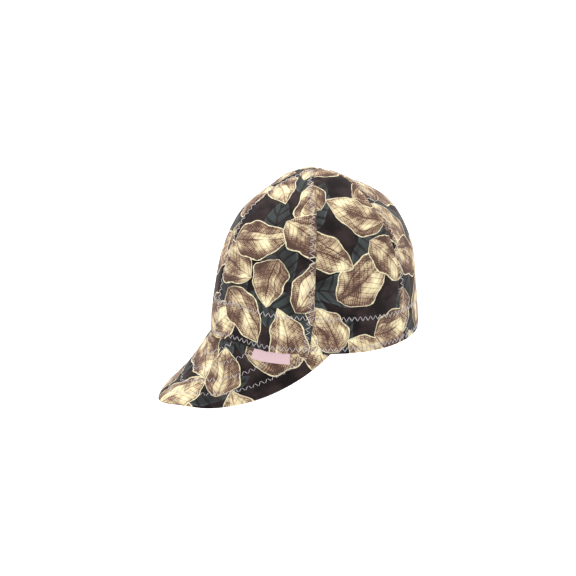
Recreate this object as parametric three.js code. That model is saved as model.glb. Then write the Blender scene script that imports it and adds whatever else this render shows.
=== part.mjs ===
// A welder's cap of printed cotton, as it keeps its form on a head: a rounded crown of
// six panels, a soft peak of two plies over the brow, a sweatband inside the hem and a
// small tag in the seam between crown and peak.
//
// Millimetres. The origin is the middle of the hem's outline at the level of the hem,
// +Z runs up to the top of the crown, the peak points along -Y and +X is the wearer's
// left. A turn is an angle round the head, 0 at the brow and positive to the wearer's
// left. A climb is an angle up the crown, 0 at the hem and 90 degrees at the top.

import * as THREE from "three";

// The crown's main sizes, outside the cloth
const CROWN_HEIGHT = 154;
const EAR_REACH = 93;
const BROW_REACH = 107;
const NAPE_REACH = 100;

// How full the hem's outline is: 2 is an ellipse, and less draws it in between
const BROW_FULLNESS = 1.8;
const NAPE_FULLNESS = 1.97;

// How far a panel lies in between its seams, as a share of the crown's reach there
const PANEL_DISH = 0.028;

// The cloth of each piece, and the clearance between pieces that are sewn together
const PANEL_CLOTH = 1.2;
const PEAK_CLOTH = 1.3;
const BAND_CLOTH = 1.3;
const TAG_CLOTH = 0.8;
const SEWN_GAP = 0.3;

// The sweatband's height at the brow and at the nape
const BAND_BROW_HEIGHT = 36;
const BAND_NAPE_HEIGHT = 29;

// The peak: its length along the cloth at the middle, the turn where it runs out into
// the hem, and how steeply it falls at the middle and at its ends
const PEAK_LENGTH = 78;
const PEAK_END = THREE.MathUtils.degToRad(69.8);
const PEAK_SLOPE = THREE.MathUtils.degToRad(42);
const PEAK_END_SLOPE = THREE.MathUtils.degToRad(76.5);
const PEAK_SLOPE_POWER = 2;
const PEAK_EDGE_POWER = 2.15;

// How far the peak's cloth splays out from straight ahead, from 0 to 1, at the middle
// and at its ends, and how deep it hollows between the hem and its front edge
const PEAK_SPLAY = 0.08;
const PEAK_END_SPLAY = 0.12;
const PEAK_HOLLOW = 4;

// The turns past the peak's ends over which the sweatband comes back out to the crown
const BAND_EASE_START = THREE.MathUtils.degToRad(6);
const BAND_EASE_END = THREE.MathUtils.degToRad(26);

// The tag that hangs from the seam over the peak
const TAG_WIDTH = 34;
const TAG_DROP = 9.2;
const TAG_TURN = THREE.MathUtils.degToRad(41.4);
const TAG_TILT = THREE.MathUtils.degToRad(5);
const TAG_TOP = 0.8;

// How far the crown stands out from the middle at each climb, as shares of the hem's
// reach below it, at the brow, over the ears and at the nape
const CROWN_ARC = [
  { climb: 0, brow: 1, ear: 1, nape: 1 },
  { climb: 15, brow: 0.99, ear: 1.005, nape: 1.006 },
  { climb: 30, brow: 1.008, ear: 1.061, nape: 1.063 },
  { climb: 45, brow: 1.026, ear: 1.048, nape: 1.066 },
  { climb: 60, brow: 1.002, ear: 1.026, nape: 1.01 },
  { climb: 75, brow: 0.989, ear: 1.022, nape: 0.97 },
  { climb: 90, brow: 1, ear: 1, nape: 1 },
];

// How far the hem is lifted at each turn, as shares of the crown's height
const HEM_LIFT = [
  { turn: 0, lift: 0.03 },
  { turn: 14, lift: 0.044 },
  { turn: 22, lift: 0.038 },
  { turn: 31, lift: 0.0225 },
  { turn: 42, lift: 0.009 },
  { turn: 60, lift: 0.006 },
  { turn: 90, lift: 0 },
  { turn: 112, lift: 0.003 },
  { turn: 132, lift: 0.017 },
  { turn: 150, lift: 0.03 },
  { turn: 180, lift: 0.034 },
];

// How far the seams before and behind each ear draw together at each climb, as shares
// of the hem's length. A seam that draws apart has a share below 0.
const SEAM_DRAW = [
  { climb: 0, draw: 0 },
  { climb: 13, draw: 0.0064 },
  { climb: 30, draw: 0.0102 },
  { climb: 50, draw: 0.011 },
  { climb: 60, draw: 0.0058 },
  { climb: 72, draw: -0.0046 },
  { climb: 90, draw: 0 },
];

// How finely the cloth is divided
const PANELS = 6;
const PANEL_COLUMNS = 12;
const BAND_ROWS = 3;
const CROWN_ROWS = 15;
const PEAK_ROWS = 8;
const TAG_COLUMNS = 8;
const TAG_ROWS = 2;
const HEM_STEPS = 720;

// A panel's name and where it starts, counted in panels from the brow
const PANEL_LAYOUT = [
  { name: "panel_front_left", start: 0 },
  { name: "panel_side_left", start: 1 },
  { name: "panel_back_left", start: 2 },
  { name: "panel_back_right", start: -3 },
  { name: "panel_side_right", start: -2 },
  { name: "panel_front_right", start: -1 },
];

const PRINTED_COTTON = { color: 0x766b57, roughness: 0.92, metalness: 0 };
const PLAIN_COTTON = { color: 0x2d2a2d, roughness: 0.94, metalness: 0 };
const TAG_TAPE = { color: 0xebb9c8, roughness: 0.8, metalness: 0 };

const TOP = Math.PI / 2;
const UP = new THREE.Vector3(0, 0, 1);
const AHEAD = new THREE.Vector2(0, -1);
const SMALL_ANGLE = 0.002;
const SMALL_SHARE = 0.0005;

// A smooth curve through one column of a table, level at both ends. The table's first
// column holds degrees.
function curveThrough(rows, degreesColumn, valueColumn) {
  const at = rows.map((row) => THREE.MathUtils.degToRad(row[degreesColumn]));
  const values = rows.map((row) => row[valueColumn]);
  const last = rows.length - 1;
  const slopes = values.map((value, i) => {
    if (i === 0 || i === last) return 0;
    return (values[i + 1] - values[i - 1]) / (at[i + 1] - at[i - 1]);
  });
  return (angle) => {
    const a = THREE.MathUtils.clamp(angle, at[0], at[last]);
    let i = 0;
    while (i < last - 1 && a > at[i + 1]) i += 1;
    const span = at[i + 1] - at[i];
    const t = (a - at[i]) / span;
    const rise = values[i + 1] - values[i];
    const startBend = slopes[i] * span - rise;
    const endBend = rise - slopes[i + 1] * span;
    return values[i] + t * rise + t * (1 - t) * (startBend * (1 - t) + endBend * t);
  };
}

const browArc = curveThrough(CROWN_ARC, "climb", "brow");
const earArc = curveThrough(CROWN_ARC, "climb", "ear");
const napeArc = curveThrough(CROWN_ARC, "climb", "nape");
const hemLift = curveThrough(HEM_LIFT, "turn", "lift");
const seamDraw = curveThrough(SEAM_DRAW, "climb", "draw");

// The hem's outline from above, at a turn.
function hemOutline(turn) {
  const across = Math.sin(turn);
  const ahead = Math.cos(turn);
  const fullness = ahead >= 0 ? BROW_FULLNESS : NAPE_FULLNESS;
  const reach = ahead >= 0 ? BROW_REACH : NAPE_REACH;
  return new THREE.Vector2(
    EAR_REACH * Math.sign(across) * Math.abs(across) ** (2 / fullness),
    -reach * Math.sign(ahead) * Math.abs(ahead) ** (2 / fullness),
  );
}

// Lengths along half of the hem's outline, from the brow to the nape.
function measureHalfHem() {
  const lengths = [0];
  for (let i = 1; i <= HEM_STEPS; i += 1) {
    const from = hemOutline((Math.PI * (i - 1)) / HEM_STEPS);
    const to = hemOutline((Math.PI * i) / HEM_STEPS);
    lengths.push(lengths[i - 1] + from.distanceTo(to));
  }
  return lengths;
}

const halfHem = measureHalfHem();
const HALF_HEM_LENGTH = halfHem[HEM_STEPS];

// The turn at a share of the way round the hem, from -0.5 to 0.5 with 0 at the brow.
function turnAt(share) {
  const length = Math.min(Math.abs(share) * 2, 1) * HALF_HEM_LENGTH;
  let i = 1;
  while (i < HEM_STEPS && halfHem[i] < length) i += 1;
  const part = (length - halfHem[i - 1]) / (halfHem[i] - halfHem[i - 1]);
  return (Math.sign(share) * Math.PI * (i - 1 + part)) / HEM_STEPS;
}

// The share of the way round the hem at a turn between -180 and 180 degrees.
function shareAt(turn) {
  const steps = (Math.abs(turn) / Math.PI) * HEM_STEPS;
  const i = Math.min(Math.floor(steps), HEM_STEPS - 1);
  const length = halfHem[i] + (steps - i) * (halfHem[i + 1] - halfHem[i]);
  return (Math.sign(turn) * length) / HALF_HEM_LENGTH / 2;
}

// The turn at a share and a climb, with the seams beside the ears drawn together.
function drawnTurn(share, climb) {
  return turnAt(share + seamDraw(climb) * Math.sin(4 * Math.PI * share));
}

// The crown's outer face in the upright plane through the axis: x is the reach from
// the axis and y is the height.
function crownProfile(share, climb) {
  const turn = drawnTurn(share, climb);
  const facing = Math.cos(turn) ** 2;
  const endArc = Math.cos(turn) >= 0 ? browArc : napeArc;
  const arc = earArc(climb) + (endArc(climb) - earArc(climb)) * facing;
  const betweenSeams = 1 - Math.cos(2 * Math.PI * PANELS * share);
  const dish = 1 - PANEL_DISH * Math.sin(climb) ** 2 * Math.sin(2 * climb) * betweenSeams;
  const lift = CROWN_HEIGHT * hemLift(Math.abs(turn)) * Math.cos(climb) ** 2;
  return new THREE.Vector2(
    hemOutline(turn).length() * arc * Math.cos(climb) * dish,
    CROWN_HEIGHT * arc * Math.sin(climb) + lift,
  );
}

// A point of the crown at a depth under its outer face.
function crownPoint(share, climb, depth) {
  if (climb >= TOP) return new THREE.Vector3(0, 0, CROWN_HEIGHT - depth);
  const profile = crownProfile(share, climb);
  const above = crownProfile(share, Math.min(climb + SMALL_ANGLE, TOP));
  const below = crownProfile(share, Math.max(climb - SMALL_ANGLE, 0));
  const along = above.sub(below).normalize();
  const reach = profile.x - along.y * depth;
  const height = profile.y + along.x * depth;
  const outward = hemOutline(drawnTurn(share, climb)).normalize();
  return new THREE.Vector3(outward.x * reach, outward.y * reach, height);
}

// The climb of each row of the crown: the first rows cross the sweatband.
function rowClimb(share, row) {
  const facing = (1 + Math.cos(turnAt(share))) / 2;
  const bandHeight = THREE.MathUtils.lerp(BAND_NAPE_HEIGHT, BAND_BROW_HEIGHT, facing);
  const bandClimb = Math.asin(Math.min(bandHeight / CROWN_HEIGHT, 1));
  if (row <= BAND_ROWS) return (bandClimb * row) / BAND_ROWS;
  const part = (row - BAND_ROWS) / (CROWN_ROWS - BAND_ROWS);
  return THREE.MathUtils.lerp(bandClimb, TOP, part);
}

// A closed wall of cloth between two faces. Each face is a function of row and column
// that gives a point. A ring's last column joins its first.
function clothWall(rows, columns, outerPoint, innerPoint, isRing = false) {
  const positions = [];
  const triangles = [];
  const known = new Map();
  const corner = (face, row, column) => {
    const point = face(row, isRing ? column % columns : column);
    const key = point.toArray().map((value) => value.toFixed(4)).join();
    if (!known.has(key)) {
      known.set(key, positions.length / 3);
      positions.push(...point.toArray());
    }
    return known.get(key);
  };
  const triangle = (a, b, c) => {
    if (a !== b && b !== c && c !== a) triangles.push(a, b, c);
  };
  const quad = (a, b, c, d) => {
    triangle(a, b, c);
    triangle(a, c, d);
  };
  const outer = (row, column) => corner(outerPoint, row, column);
  const inner = (row, column) => corner(innerPoint, row, column);

  for (let row = 0; row < rows; row += 1) {
    for (let column = 0; column < columns; column += 1) {
      quad(
        outer(row, column),
        outer(row, column + 1),
        outer(row + 1, column + 1),
        outer(row + 1, column),
      );
      quad(
        inner(row, column),
        inner(row + 1, column),
        inner(row + 1, column + 1),
        inner(row, column + 1),
      );
    }
  }
  for (let column = 0; column < columns; column += 1) {
    quad(outer(0, column), inner(0, column), inner(0, column + 1), outer(0, column + 1));
    quad(
      outer(rows, column),
      outer(rows, column + 1),
      inner(rows, column + 1),
      inner(rows, column),
    );
  }
  for (let row = 0; row < rows && !isRing; row += 1) {
    quad(outer(row, 0), outer(row + 1, 0), inner(row + 1, 0), inner(row, 0));
    quad(
      outer(row, columns),
      inner(row, columns),
      inner(row + 1, columns),
      outer(row + 1, columns),
    );
  }

  const geometry = new THREE.BufferGeometry();
  geometry.setAttribute("position", new THREE.Float32BufferAttribute(positions, 3));
  geometry.setIndex(triangles);
  geometry.computeVertexNormals();
  return geometry;
}

function sewnPiece(name, geometry, cloth) {
  const piece = new THREE.Mesh(geometry, new THREE.MeshStandardMaterial(cloth));
  piece.name = name;
  return piece;
}

// One panel of the crown, moved out along its middle line so that it keeps the sewn
// gap to the panels beside it.
function crownPanel({ name, start }) {
  const share = (column) => (start + column / PANEL_COLUMNS) / PANELS;
  const face = (depth) => (row, column) =>
    crownPoint(share(column), rowClimb(share(column), row), depth);
  const wall = clothWall(CROWN_ROWS, PANEL_COLUMNS, face(0), face(PANEL_CLOTH));

  const firstSeam = hemOutline(turnAt(share(0))).normalize();
  const lastSeam = hemOutline(turnAt(share(PANEL_COLUMNS))).normalize();
  const halfAngle = Math.acos(firstSeam.dot(lastSeam)) / 2;
  const middle = firstSeam.add(lastSeam).normalize();
  const shift = SEWN_GAP / 2 / Math.sin(halfAngle);

  const panel = sewnPiece(name, wall, PRINTED_COTTON);
  panel.position.set(middle.x * shift, middle.y * shift, 0);
  return panel;
}

// How far the sweatband's outer face lies under the crown's: past both plies of the
// peak at the brow, and against the panels elsewhere.
function bandDepth(share) {
  const pastPeak = Math.abs(turnAt(share)) - PEAK_END;
  const ease = THREE.MathUtils.smoothstep(pastPeak, BAND_EASE_START, BAND_EASE_END);
  const peakPlies = 2 * (PEAK_CLOTH + SEWN_GAP);
  return PANEL_CLOTH + SEWN_GAP + peakPlies * (1 - ease);
}

function sweatband() {
  const stations = PANELS * PANEL_COLUMNS;
  const face = (extra) => (row, column) => {
    const share = column / stations - 0.5;
    return crownPoint(share, rowClimb(share, row), bandDepth(share) + extra);
  };
  const wall = clothWall(BAND_ROWS, stations, face(0), face(BAND_CLOTH), true);
  return sewnPiece("sweatband", wall, PLAIN_COTTON);
}

// The peak's upper face. Along runs from 0 at the hem to 1 at the front edge.
function peakFace(share, along) {
  const turn = turnAt(share);
  const toEnd = Math.min(Math.abs(turn) / PEAK_END, 1);
  const hem = crownPoint(share, 0, PANEL_CLOTH + SEWN_GAP);
  const after = hemOutline(turn + SMALL_ANGLE);
  const hemRun = after.sub(hemOutline(turn - SMALL_ANGLE)).normalize();
  const outward = new THREE.Vector2(hemRun.y, -hemRun.x);
  const splay = THREE.MathUtils.lerp(PEAK_SPLAY, PEAK_END_SPLAY, toEnd ** 2);
  const heading = AHEAD.clone().lerp(outward, splay).normalize();
  const slopeShare = toEnd ** PEAK_SLOPE_POWER;
  const slope = THREE.MathUtils.lerp(PEAK_SLOPE, PEAK_END_SLOPE, slopeShare);
  const length = PEAK_LENGTH * (1 - toEnd ** PEAK_EDGE_POWER);
  const hollow = PEAK_HOLLOW * Math.sin(Math.PI * along) * (1 - toEnd ** 2);
  const level = length * along * Math.cos(slope) - hollow * Math.sin(slope);
  const fall = length * along * Math.sin(slope) + hollow * Math.cos(slope);
  return new THREE.Vector3(
    hem.x + heading.x * level,
    hem.y + heading.y * level,
    hem.z - SEWN_GAP - fall,
  );
}

// The direction straight out of the peak's upper face. Near the ends, where the peak
// runs out, it is read a little way in.
function peakOutward(share, along) {
  const endShare = shareAt(PEAK_END) - 8 * SMALL_SHARE;
  const s = THREE.MathUtils.clamp(share, -endShare, endShare);
  const nearer = Math.max(along - SMALL_ANGLE, 0);
  const further = Math.min(along + SMALL_ANGLE, 1);
  const forward = peakFace(s, further).sub(peakFace(s, nearer));
  const sideways = peakFace(s + SMALL_SHARE, along).sub(peakFace(s - SMALL_SHARE, along));
  return forward.cross(sideways).normalize();
}

// A point of the peak at a depth under its upper face. Where it folds up inside the
// crown, the depth is kept on both sides of the fold.
function peakPoint(share, along, depth) {
  const down = peakOutward(share, along).negate();
  if (along > 0) return peakFace(share, along).addScaledVector(down, depth);
  const middle = hemOutline(turnAt(share)).normalize();
  const inward = new THREE.Vector3(-middle.x, -middle.y, 0);
  const foldScale = depth / (1 + inward.dot(down));
  return peakFace(share, 0).addScaledVector(inward.add(down), foldScale);
}

// The turns of the peak's columns: those of the crown's columns, and the peak's ends.
function peakShares() {
  const end = shareAt(PEAK_END);
  const step = 1 / (PANELS * PANEL_COLUMNS);
  const last = Math.ceil(end / step) - 1;
  const shares = [-end];
  for (let i = -last; i <= last; i += 1) shares.push(i * step);
  shares.push(end);
  return shares;
}

// One ply of the peak: the first row is the allowance turned up inside the crown.
function peakPly(name, ply) {
  const shares = peakShares();
  const topDepth = ply * (PEAK_CLOTH + SEWN_GAP);
  const face = (depth) => (row, column) => {
    const share = shares[column];
    if (row > 0) return peakPoint(share, (row - 1) / PEAK_ROWS, depth);
    return crownPoint(share, rowClimb(share, 1), PANEL_CLOTH + SEWN_GAP + depth);
  };
  const upper = face(topDepth);
  const under = face(topDepth + PEAK_CLOTH);
  const wall = clothWall(PEAK_ROWS + 1, shares.length - 1, under, upper);
  return sewnPiece(name, wall, PRINTED_COTTON);
}

// The tag hangs from the seam, a little off the peak.
function sideTag() {
  const middle = shareAt(TAG_TURN);
  const widthShare = TAG_WIDTH / (2 * HALF_HEM_LENGTH);
  const face = (lift) => (row, column) => {
    const share = middle + widthShare * (column / TAG_COLUMNS - 0.5);
    const outward = peakOutward(share, SMALL_SHARE);
    const seamRun = peakFace(share + SMALL_SHARE, 0).sub(peakFace(share, 0));
    const down = outward.clone().cross(seamRun).normalize();
    if (down.dot(UP) > 0) down.negate();
    const drop = THREE.MathUtils.lerp(TAG_TOP, TAG_DROP, row / TAG_ROWS);
    return peakFace(share, 0)
      .addScaledVector(down, drop)
      .addScaledVector(outward, lift + drop * Math.tan(TAG_TILT));
  };
  const wall = clothWall(TAG_ROWS, TAG_COLUMNS, face(SEWN_GAP), face(SEWN_GAP + TAG_CLOTH));
  return sewnPiece("side_tag", wall, TAG_TAPE);
}

const cap = new THREE.Group();
for (const panel of PANEL_LAYOUT) cap.add(crownPanel(panel));
cap.add(sweatband());
cap.add(peakPly("peak_upper", 0));
cap.add(peakPly("peak_under", 1));
cap.add(sideTag());

export default cap;
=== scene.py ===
# %% [markdown]
# # A welder's cap, sewn in Blender
#
# The cap is six panels of printed cotton, a soft peak of two plies, a sweatband and a
# small tag. The CAD model gives the sizes and the place of each piece. This script sews
# the same pieces from finer cloth: it adds the seams, the puckers, the rows of zigzag
# stitches and the print.

# %% Load the frame
import math

import bmesh
import bpy
import numpy as np
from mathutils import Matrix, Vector


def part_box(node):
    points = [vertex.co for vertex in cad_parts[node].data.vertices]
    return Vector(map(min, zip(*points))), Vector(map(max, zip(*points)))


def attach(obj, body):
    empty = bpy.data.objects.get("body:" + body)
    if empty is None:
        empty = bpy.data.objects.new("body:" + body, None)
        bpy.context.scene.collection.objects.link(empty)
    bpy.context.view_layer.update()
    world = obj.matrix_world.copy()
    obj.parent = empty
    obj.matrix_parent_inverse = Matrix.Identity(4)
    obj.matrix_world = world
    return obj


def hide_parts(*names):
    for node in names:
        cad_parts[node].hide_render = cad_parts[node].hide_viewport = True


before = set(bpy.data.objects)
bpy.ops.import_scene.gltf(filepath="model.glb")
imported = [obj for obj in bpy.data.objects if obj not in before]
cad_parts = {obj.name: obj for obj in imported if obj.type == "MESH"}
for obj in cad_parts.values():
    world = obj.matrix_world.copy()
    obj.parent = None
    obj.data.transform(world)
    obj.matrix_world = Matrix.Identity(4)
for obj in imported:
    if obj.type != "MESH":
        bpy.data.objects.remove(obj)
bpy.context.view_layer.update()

# %% [markdown]
# ## The camera
#
# The camera comes first, because everything else is judged through it. Its place was
# found by fitting the outline of the hem, the peak and the top seam to a perspective
# view. A camera is described by where it stands around the cap, how high, how far away,
# and how long its lens is. The cap isn't in the middle of the picture, and there are two
# ways to allow for that: a lens shift, or a turn of the camera. A turn is used, because
# it keeps other views centred.

# %% Set up the camera
MM = 0.001
PICTURE = 576
CAMERA_AROUND = math.radians(61.6)
CAMERA_ABOVE = math.radians(15.86)
CAMERA_DISTANCE = 0.9608
FOCAL_PIXELS = 985.3
SENSOR_WIDTH = 36.0
ORIGIN_ACROSS = 317.0
ORIGIN_DOWN = 326.8


def camera_turn(back):
    """The turn of a camera that keeps the cap's origin where the picture has it."""
    level = (-back).to_track_quat("-Z", "Y")
    right = level @ Vector((1, 0, 0))
    up = level @ Vector((0, 1, 0))
    aside = (PICTURE / 2 - ORIGIN_ACROSS) / FOCAL_PIXELS
    above = (ORIGIN_DOWN - PICTURE / 2) / FOCAL_PIXELS
    ahead = -back + right * aside + up * above
    return (-back).rotation_difference(ahead) @ level


def add_camera():
    """Adds the camera where the fit to the picture puts it."""
    back = Vector((
        math.sin(CAMERA_AROUND) * math.cos(CAMERA_ABOVE),
        -math.cos(CAMERA_AROUND) * math.cos(CAMERA_ABOVE),
        math.sin(CAMERA_ABOVE),
    ))
    lens = bpy.data.cameras.new("camera")
    lens.sensor_width = SENSOR_WIDTH
    lens.lens = FOCAL_PIXELS * SENSOR_WIDTH / PICTURE
    camera = bpy.data.objects.new("camera", lens)
    camera.location = back * CAMERA_DISTANCE
    camera.rotation_mode = "QUATERNION"
    camera.rotation_quaternion = camera_turn(back)
    bpy.context.scene.collection.objects.link(camera)
    bpy.context.scene.camera = camera
    return camera


camera = add_camera()
camera_place = [round(value, 3) for value in camera.location]
print("camera at", camera_place, "with a lens of", round(camera.data.lens, 1), "mm")

# %% [markdown]
# ## The crown's form
#
# A crown of six panels has no simple form such as a sphere: the hem is an oval, and the
# rise differs at the brow, the ears and the nape. It could be sculpted by hand, but a
# formula keeps the seams exactly between the panels. Here a point of the crown has two
# numbers: a share of the way round the hem, and a climb from the hem to the top. The
# reaches and the height come from the CAD model's boxes.

# %% Read the crown's size from the frame
# A panel's name, where it starts counted in panels from the brow, and where its cloth
# was cut from the print
PANELS = [
    {"name": "panel_front_left", "start": 0, "cut_across": 61, "cut_up": 4},
    {"name": "panel_side_left", "start": 1, "cut_across": 14, "cut_up": 83},
    {"name": "panel_back_left", "start": 2, "cut_across": 122, "cut_up": 37},
    {"name": "panel_back_right", "start": -3, "cut_across": 40, "cut_up": 101},
    {"name": "panel_side_right", "start": -2, "cut_across": 93, "cut_up": 58},
    {"name": "panel_front_right", "start": -1, "cut_across": 136, "cut_up": 71},
]
SEWN_GAP = 0.3 * MM
panel_boxes = [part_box(panel["name"]) for panel in PANELS]
crown_low = np.min([low for low, high in panel_boxes], axis=0)
crown_high = np.max([high for low, high in panel_boxes], axis=0)
EAR_REACH = crown_high[0] - SEWN_GAP / 2
BROW_REACH = -crown_low[1] - SEWN_GAP / 2
NAPE_REACH = crown_high[1] - SEWN_GAP / 2
CROWN_HEIGHT = crown_high[2]
reaches = np.round([EAR_REACH, BROW_REACH, NAPE_REACH], 4)
print("ear, brow and nape reach:", reaches, "height:", round(CROWN_HEIGHT, 4))

# %% Name the cap's other sizes
BROW_FULLNESS = 1.8
NAPE_FULLNESS = 1.97
PANEL_DISH = 0.028
PANEL_CLOTH = 1.2 * MM
PEAK_CLOTH = 1.3 * MM
BAND_CLOTH = 1.3 * MM
BAND_BROW_HEIGHT = 36 * MM
BAND_NAPE_HEIGHT = 29 * MM
BAND_ROWS = 3
SIX = 6
TOP = math.pi / 2
SMALL_ANGLE = 0.002
TOP_NEARNESS = 1e-9
SMALLEST_LENGTH = 1e-12
SAME_POINT = 1e-5

# How far the crown stands out at each climb, as shares of the hem's reach
CROWN_ARC = {
    "climb": np.radians([0, 15, 30, 45, 60, 75, 90]),
    "brow": [1, 0.99, 1.008, 1.026, 1.002, 0.989, 1],
    "ear": [1, 1.005, 1.061, 1.048, 1.026, 1.022, 1],
    "nape": [1, 1.006, 1.063, 1.066, 1.01, 0.97, 1],
}
# How far the hem is lifted at each turn, as shares of the crown's height
HEM_LIFT = {
    "turn": np.radians([0, 14, 22, 31, 42, 60, 90, 112, 132, 150, 180]),
    "lift": [0.03, 0.044, 0.038, 0.0225, 0.009, 0.006, 0, 0.003, 0.017, 0.03, 0.034],
}
# How far the seams beside the ears draw together at each climb, as shares of the hem
SEAM_DRAW = {
    "climb": np.radians([0, 13, 30, 50, 60, 72, 90]),
    "draw": [0, 0.0064, 0.0102, 0.011, 0.0058, -0.0046, 0],
}

# %% Curves through the tables
def curve_through(at, values):
    """A smooth curve through the values, level at both ends."""
    at = np.array(at, float)
    values = np.array(values, float)
    slopes = np.zeros(len(at))
    slopes[1:-1] = (values[2:] - values[:-2]) / (at[2:] - at[:-2])

    def curve(angle):
        angle = np.clip(angle, at[0], at[-1])
        i = np.clip(np.searchsorted(at, angle, side="right") - 1, 0, len(at) - 2)
        span = at[i + 1] - at[i]
        t = (angle - at[i]) / span
        rise = values[i + 1] - values[i]
        start_bend = slopes[i] * span - rise
        end_bend = rise - slopes[i + 1] * span
        return values[i] + t * rise + t * (1 - t) * (start_bend * (1 - t) + end_bend * t)

    return curve


brow_arc = curve_through(CROWN_ARC["climb"], CROWN_ARC["brow"])
ear_arc = curve_through(CROWN_ARC["climb"], CROWN_ARC["ear"])
nape_arc = curve_through(CROWN_ARC["climb"], CROWN_ARC["nape"])
hem_lift = curve_through(HEM_LIFT["turn"], HEM_LIFT["lift"])
seam_draw = curve_through(SEAM_DRAW["climb"], SEAM_DRAW["draw"])
print("arc over the ears at 40 degrees:", round(float(ear_arc(math.radians(40))), 3))

# %% The hem's outline and the shares of its length
def hem_outline(turn):
    """The hem's outline from above, at turns round the head."""
    across, ahead = np.sin(turn), np.cos(turn)
    fullness = np.where(ahead >= 0, BROW_FULLNESS, NAPE_FULLNESS)
    reach = np.where(ahead >= 0, BROW_REACH, NAPE_REACH)
    x = EAR_REACH * np.sign(across) * np.abs(across) ** (2 / fullness)
    y = -reach * np.sign(ahead) * np.abs(ahead) ** (2 / fullness)
    return np.stack([x, y], axis=-1)


HEM_STEPS = 720
HEM_TURNS = np.linspace(0, math.pi, HEM_STEPS + 1)
hem_steps = np.linalg.norm(np.diff(hem_outline(HEM_TURNS), axis=0), axis=1)
HALF_HEM = np.concatenate([[0], np.cumsum(hem_steps)])
HEM_LENGTH = 2 * HALF_HEM[-1]


def turn_at(share):
    """The turn at a share of the way round the hem, from -0.5 to 0.5 with 0 at the brow."""
    return np.sign(share) * np.interp(np.abs(share) * HEM_LENGTH, HALF_HEM, HEM_TURNS)


def share_at(turn):
    """The share of the way round the hem at a turn."""
    return np.sign(turn) * np.interp(np.abs(turn), HEM_TURNS, HALF_HEM) / HEM_LENGTH


print("hem length outside:", round(HEM_LENGTH, 3))

# %% Points of the crown
def unit(vectors):
    """Each vector at length 1."""
    return vectors / np.maximum(np.linalg.norm(vectors, axis=-1, keepdims=True), SMALLEST_LENGTH)


def drawn_turn(share, climb):
    """The turn at a share and a climb, with the seams beside the ears drawn together."""
    return turn_at(share + seam_draw(climb) * np.sin(4 * math.pi * share))


def crown_profile(share, climb):
    """The crown's outer face in the upright plane through the axis: reach and height."""
    turn = drawn_turn(share, climb)
    facing = np.cos(turn) ** 2
    end_arc = np.where(np.cos(turn) >= 0, brow_arc(climb), nape_arc(climb))
    arc = ear_arc(climb) + (end_arc - ear_arc(climb)) * facing
    between_seams = 1 - np.cos(2 * math.pi * SIX * share)
    dish = 1 - PANEL_DISH * np.sin(climb) ** 2 * np.sin(2 * climb) * between_seams
    lift = CROWN_HEIGHT * hem_lift(np.abs(turn)) * np.cos(climb) ** 2
    reach = np.linalg.norm(hem_outline(turn), axis=-1) * arc * np.cos(climb) * dish
    height = CROWN_HEIGHT * arc * np.sin(climb) + lift
    return np.stack([reach, height], axis=-1)


def crown_frame(share, climb):
    """Points of the crown's outer face, and the directions straight out of it."""
    share, climb = np.broadcast_arrays(np.asarray(share, float), np.asarray(climb, float))
    profile = crown_profile(share, climb)
    above = crown_profile(share, np.minimum(climb + SMALL_ANGLE, TOP))
    below = crown_profile(share, np.maximum(climb - SMALL_ANGLE, 0))
    along = unit(above - below)
    outward = unit(hem_outline(drawn_turn(share, climb)))
    points = np.concatenate([outward * profile[..., :1], profile[..., 1:]], axis=-1)
    out = np.concatenate([outward * along[..., 1:], -along[..., :1]], axis=-1)
    at_top = climb >= TOP - TOP_NEARNESS
    points[at_top] = (0, 0, CROWN_HEIGHT)
    out[at_top] = (0, 0, 1)
    return points, out


def band_height(share):
    """How high the sweatband's upper edge stands, less at the nape than at the brow."""
    facing = (1 + np.cos(turn_at(share))) / 2
    return BAND_NAPE_HEIGHT + (BAND_BROW_HEIGHT - BAND_NAPE_HEIGHT) * facing


def band_climb(share):
    """The climb of the sweatband's upper edge."""
    return np.arcsin(band_height(share) / CROWN_HEIGHT)


top_point = crown_frame(0.0, TOP)[0]
print("top of the crown:", np.round(top_point, 4))

# %% [markdown]
# ## Cloth walls
#
# A single sheet of faces has no edge, and a solidified sheet has a square one. Sewn
# cotton has soft, rounded edges, so each piece is two grids, an outer face and an inner
# one, which meet in a half-round rim. The grid lines crowd together at the rim and lie
# further apart on plain cloth. Each wall also carries its flat pattern as a UV map, in
# metres, so that the print lies on the cloth as it was cut.

# %% Lines of a cloth grid
RIM_STEPS = [0, 0.13, 0.5, 1]


def rim_depth(edge_distance, radius):
    """How far a half-round rim has sunk under the cloth's face at a distance from the edge."""
    inside = np.clip(1 - edge_distance / radius, 0, 1)
    return radius * (1 - np.sqrt(1 - inside ** 2))


print("a rim of 1 mm, halfway:", round(float(rim_depth(0.0005, 0.001)) * 1000, 2), "mm down")

# %% Build a closed wall from two faces
WELD = 1e-7


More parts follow.
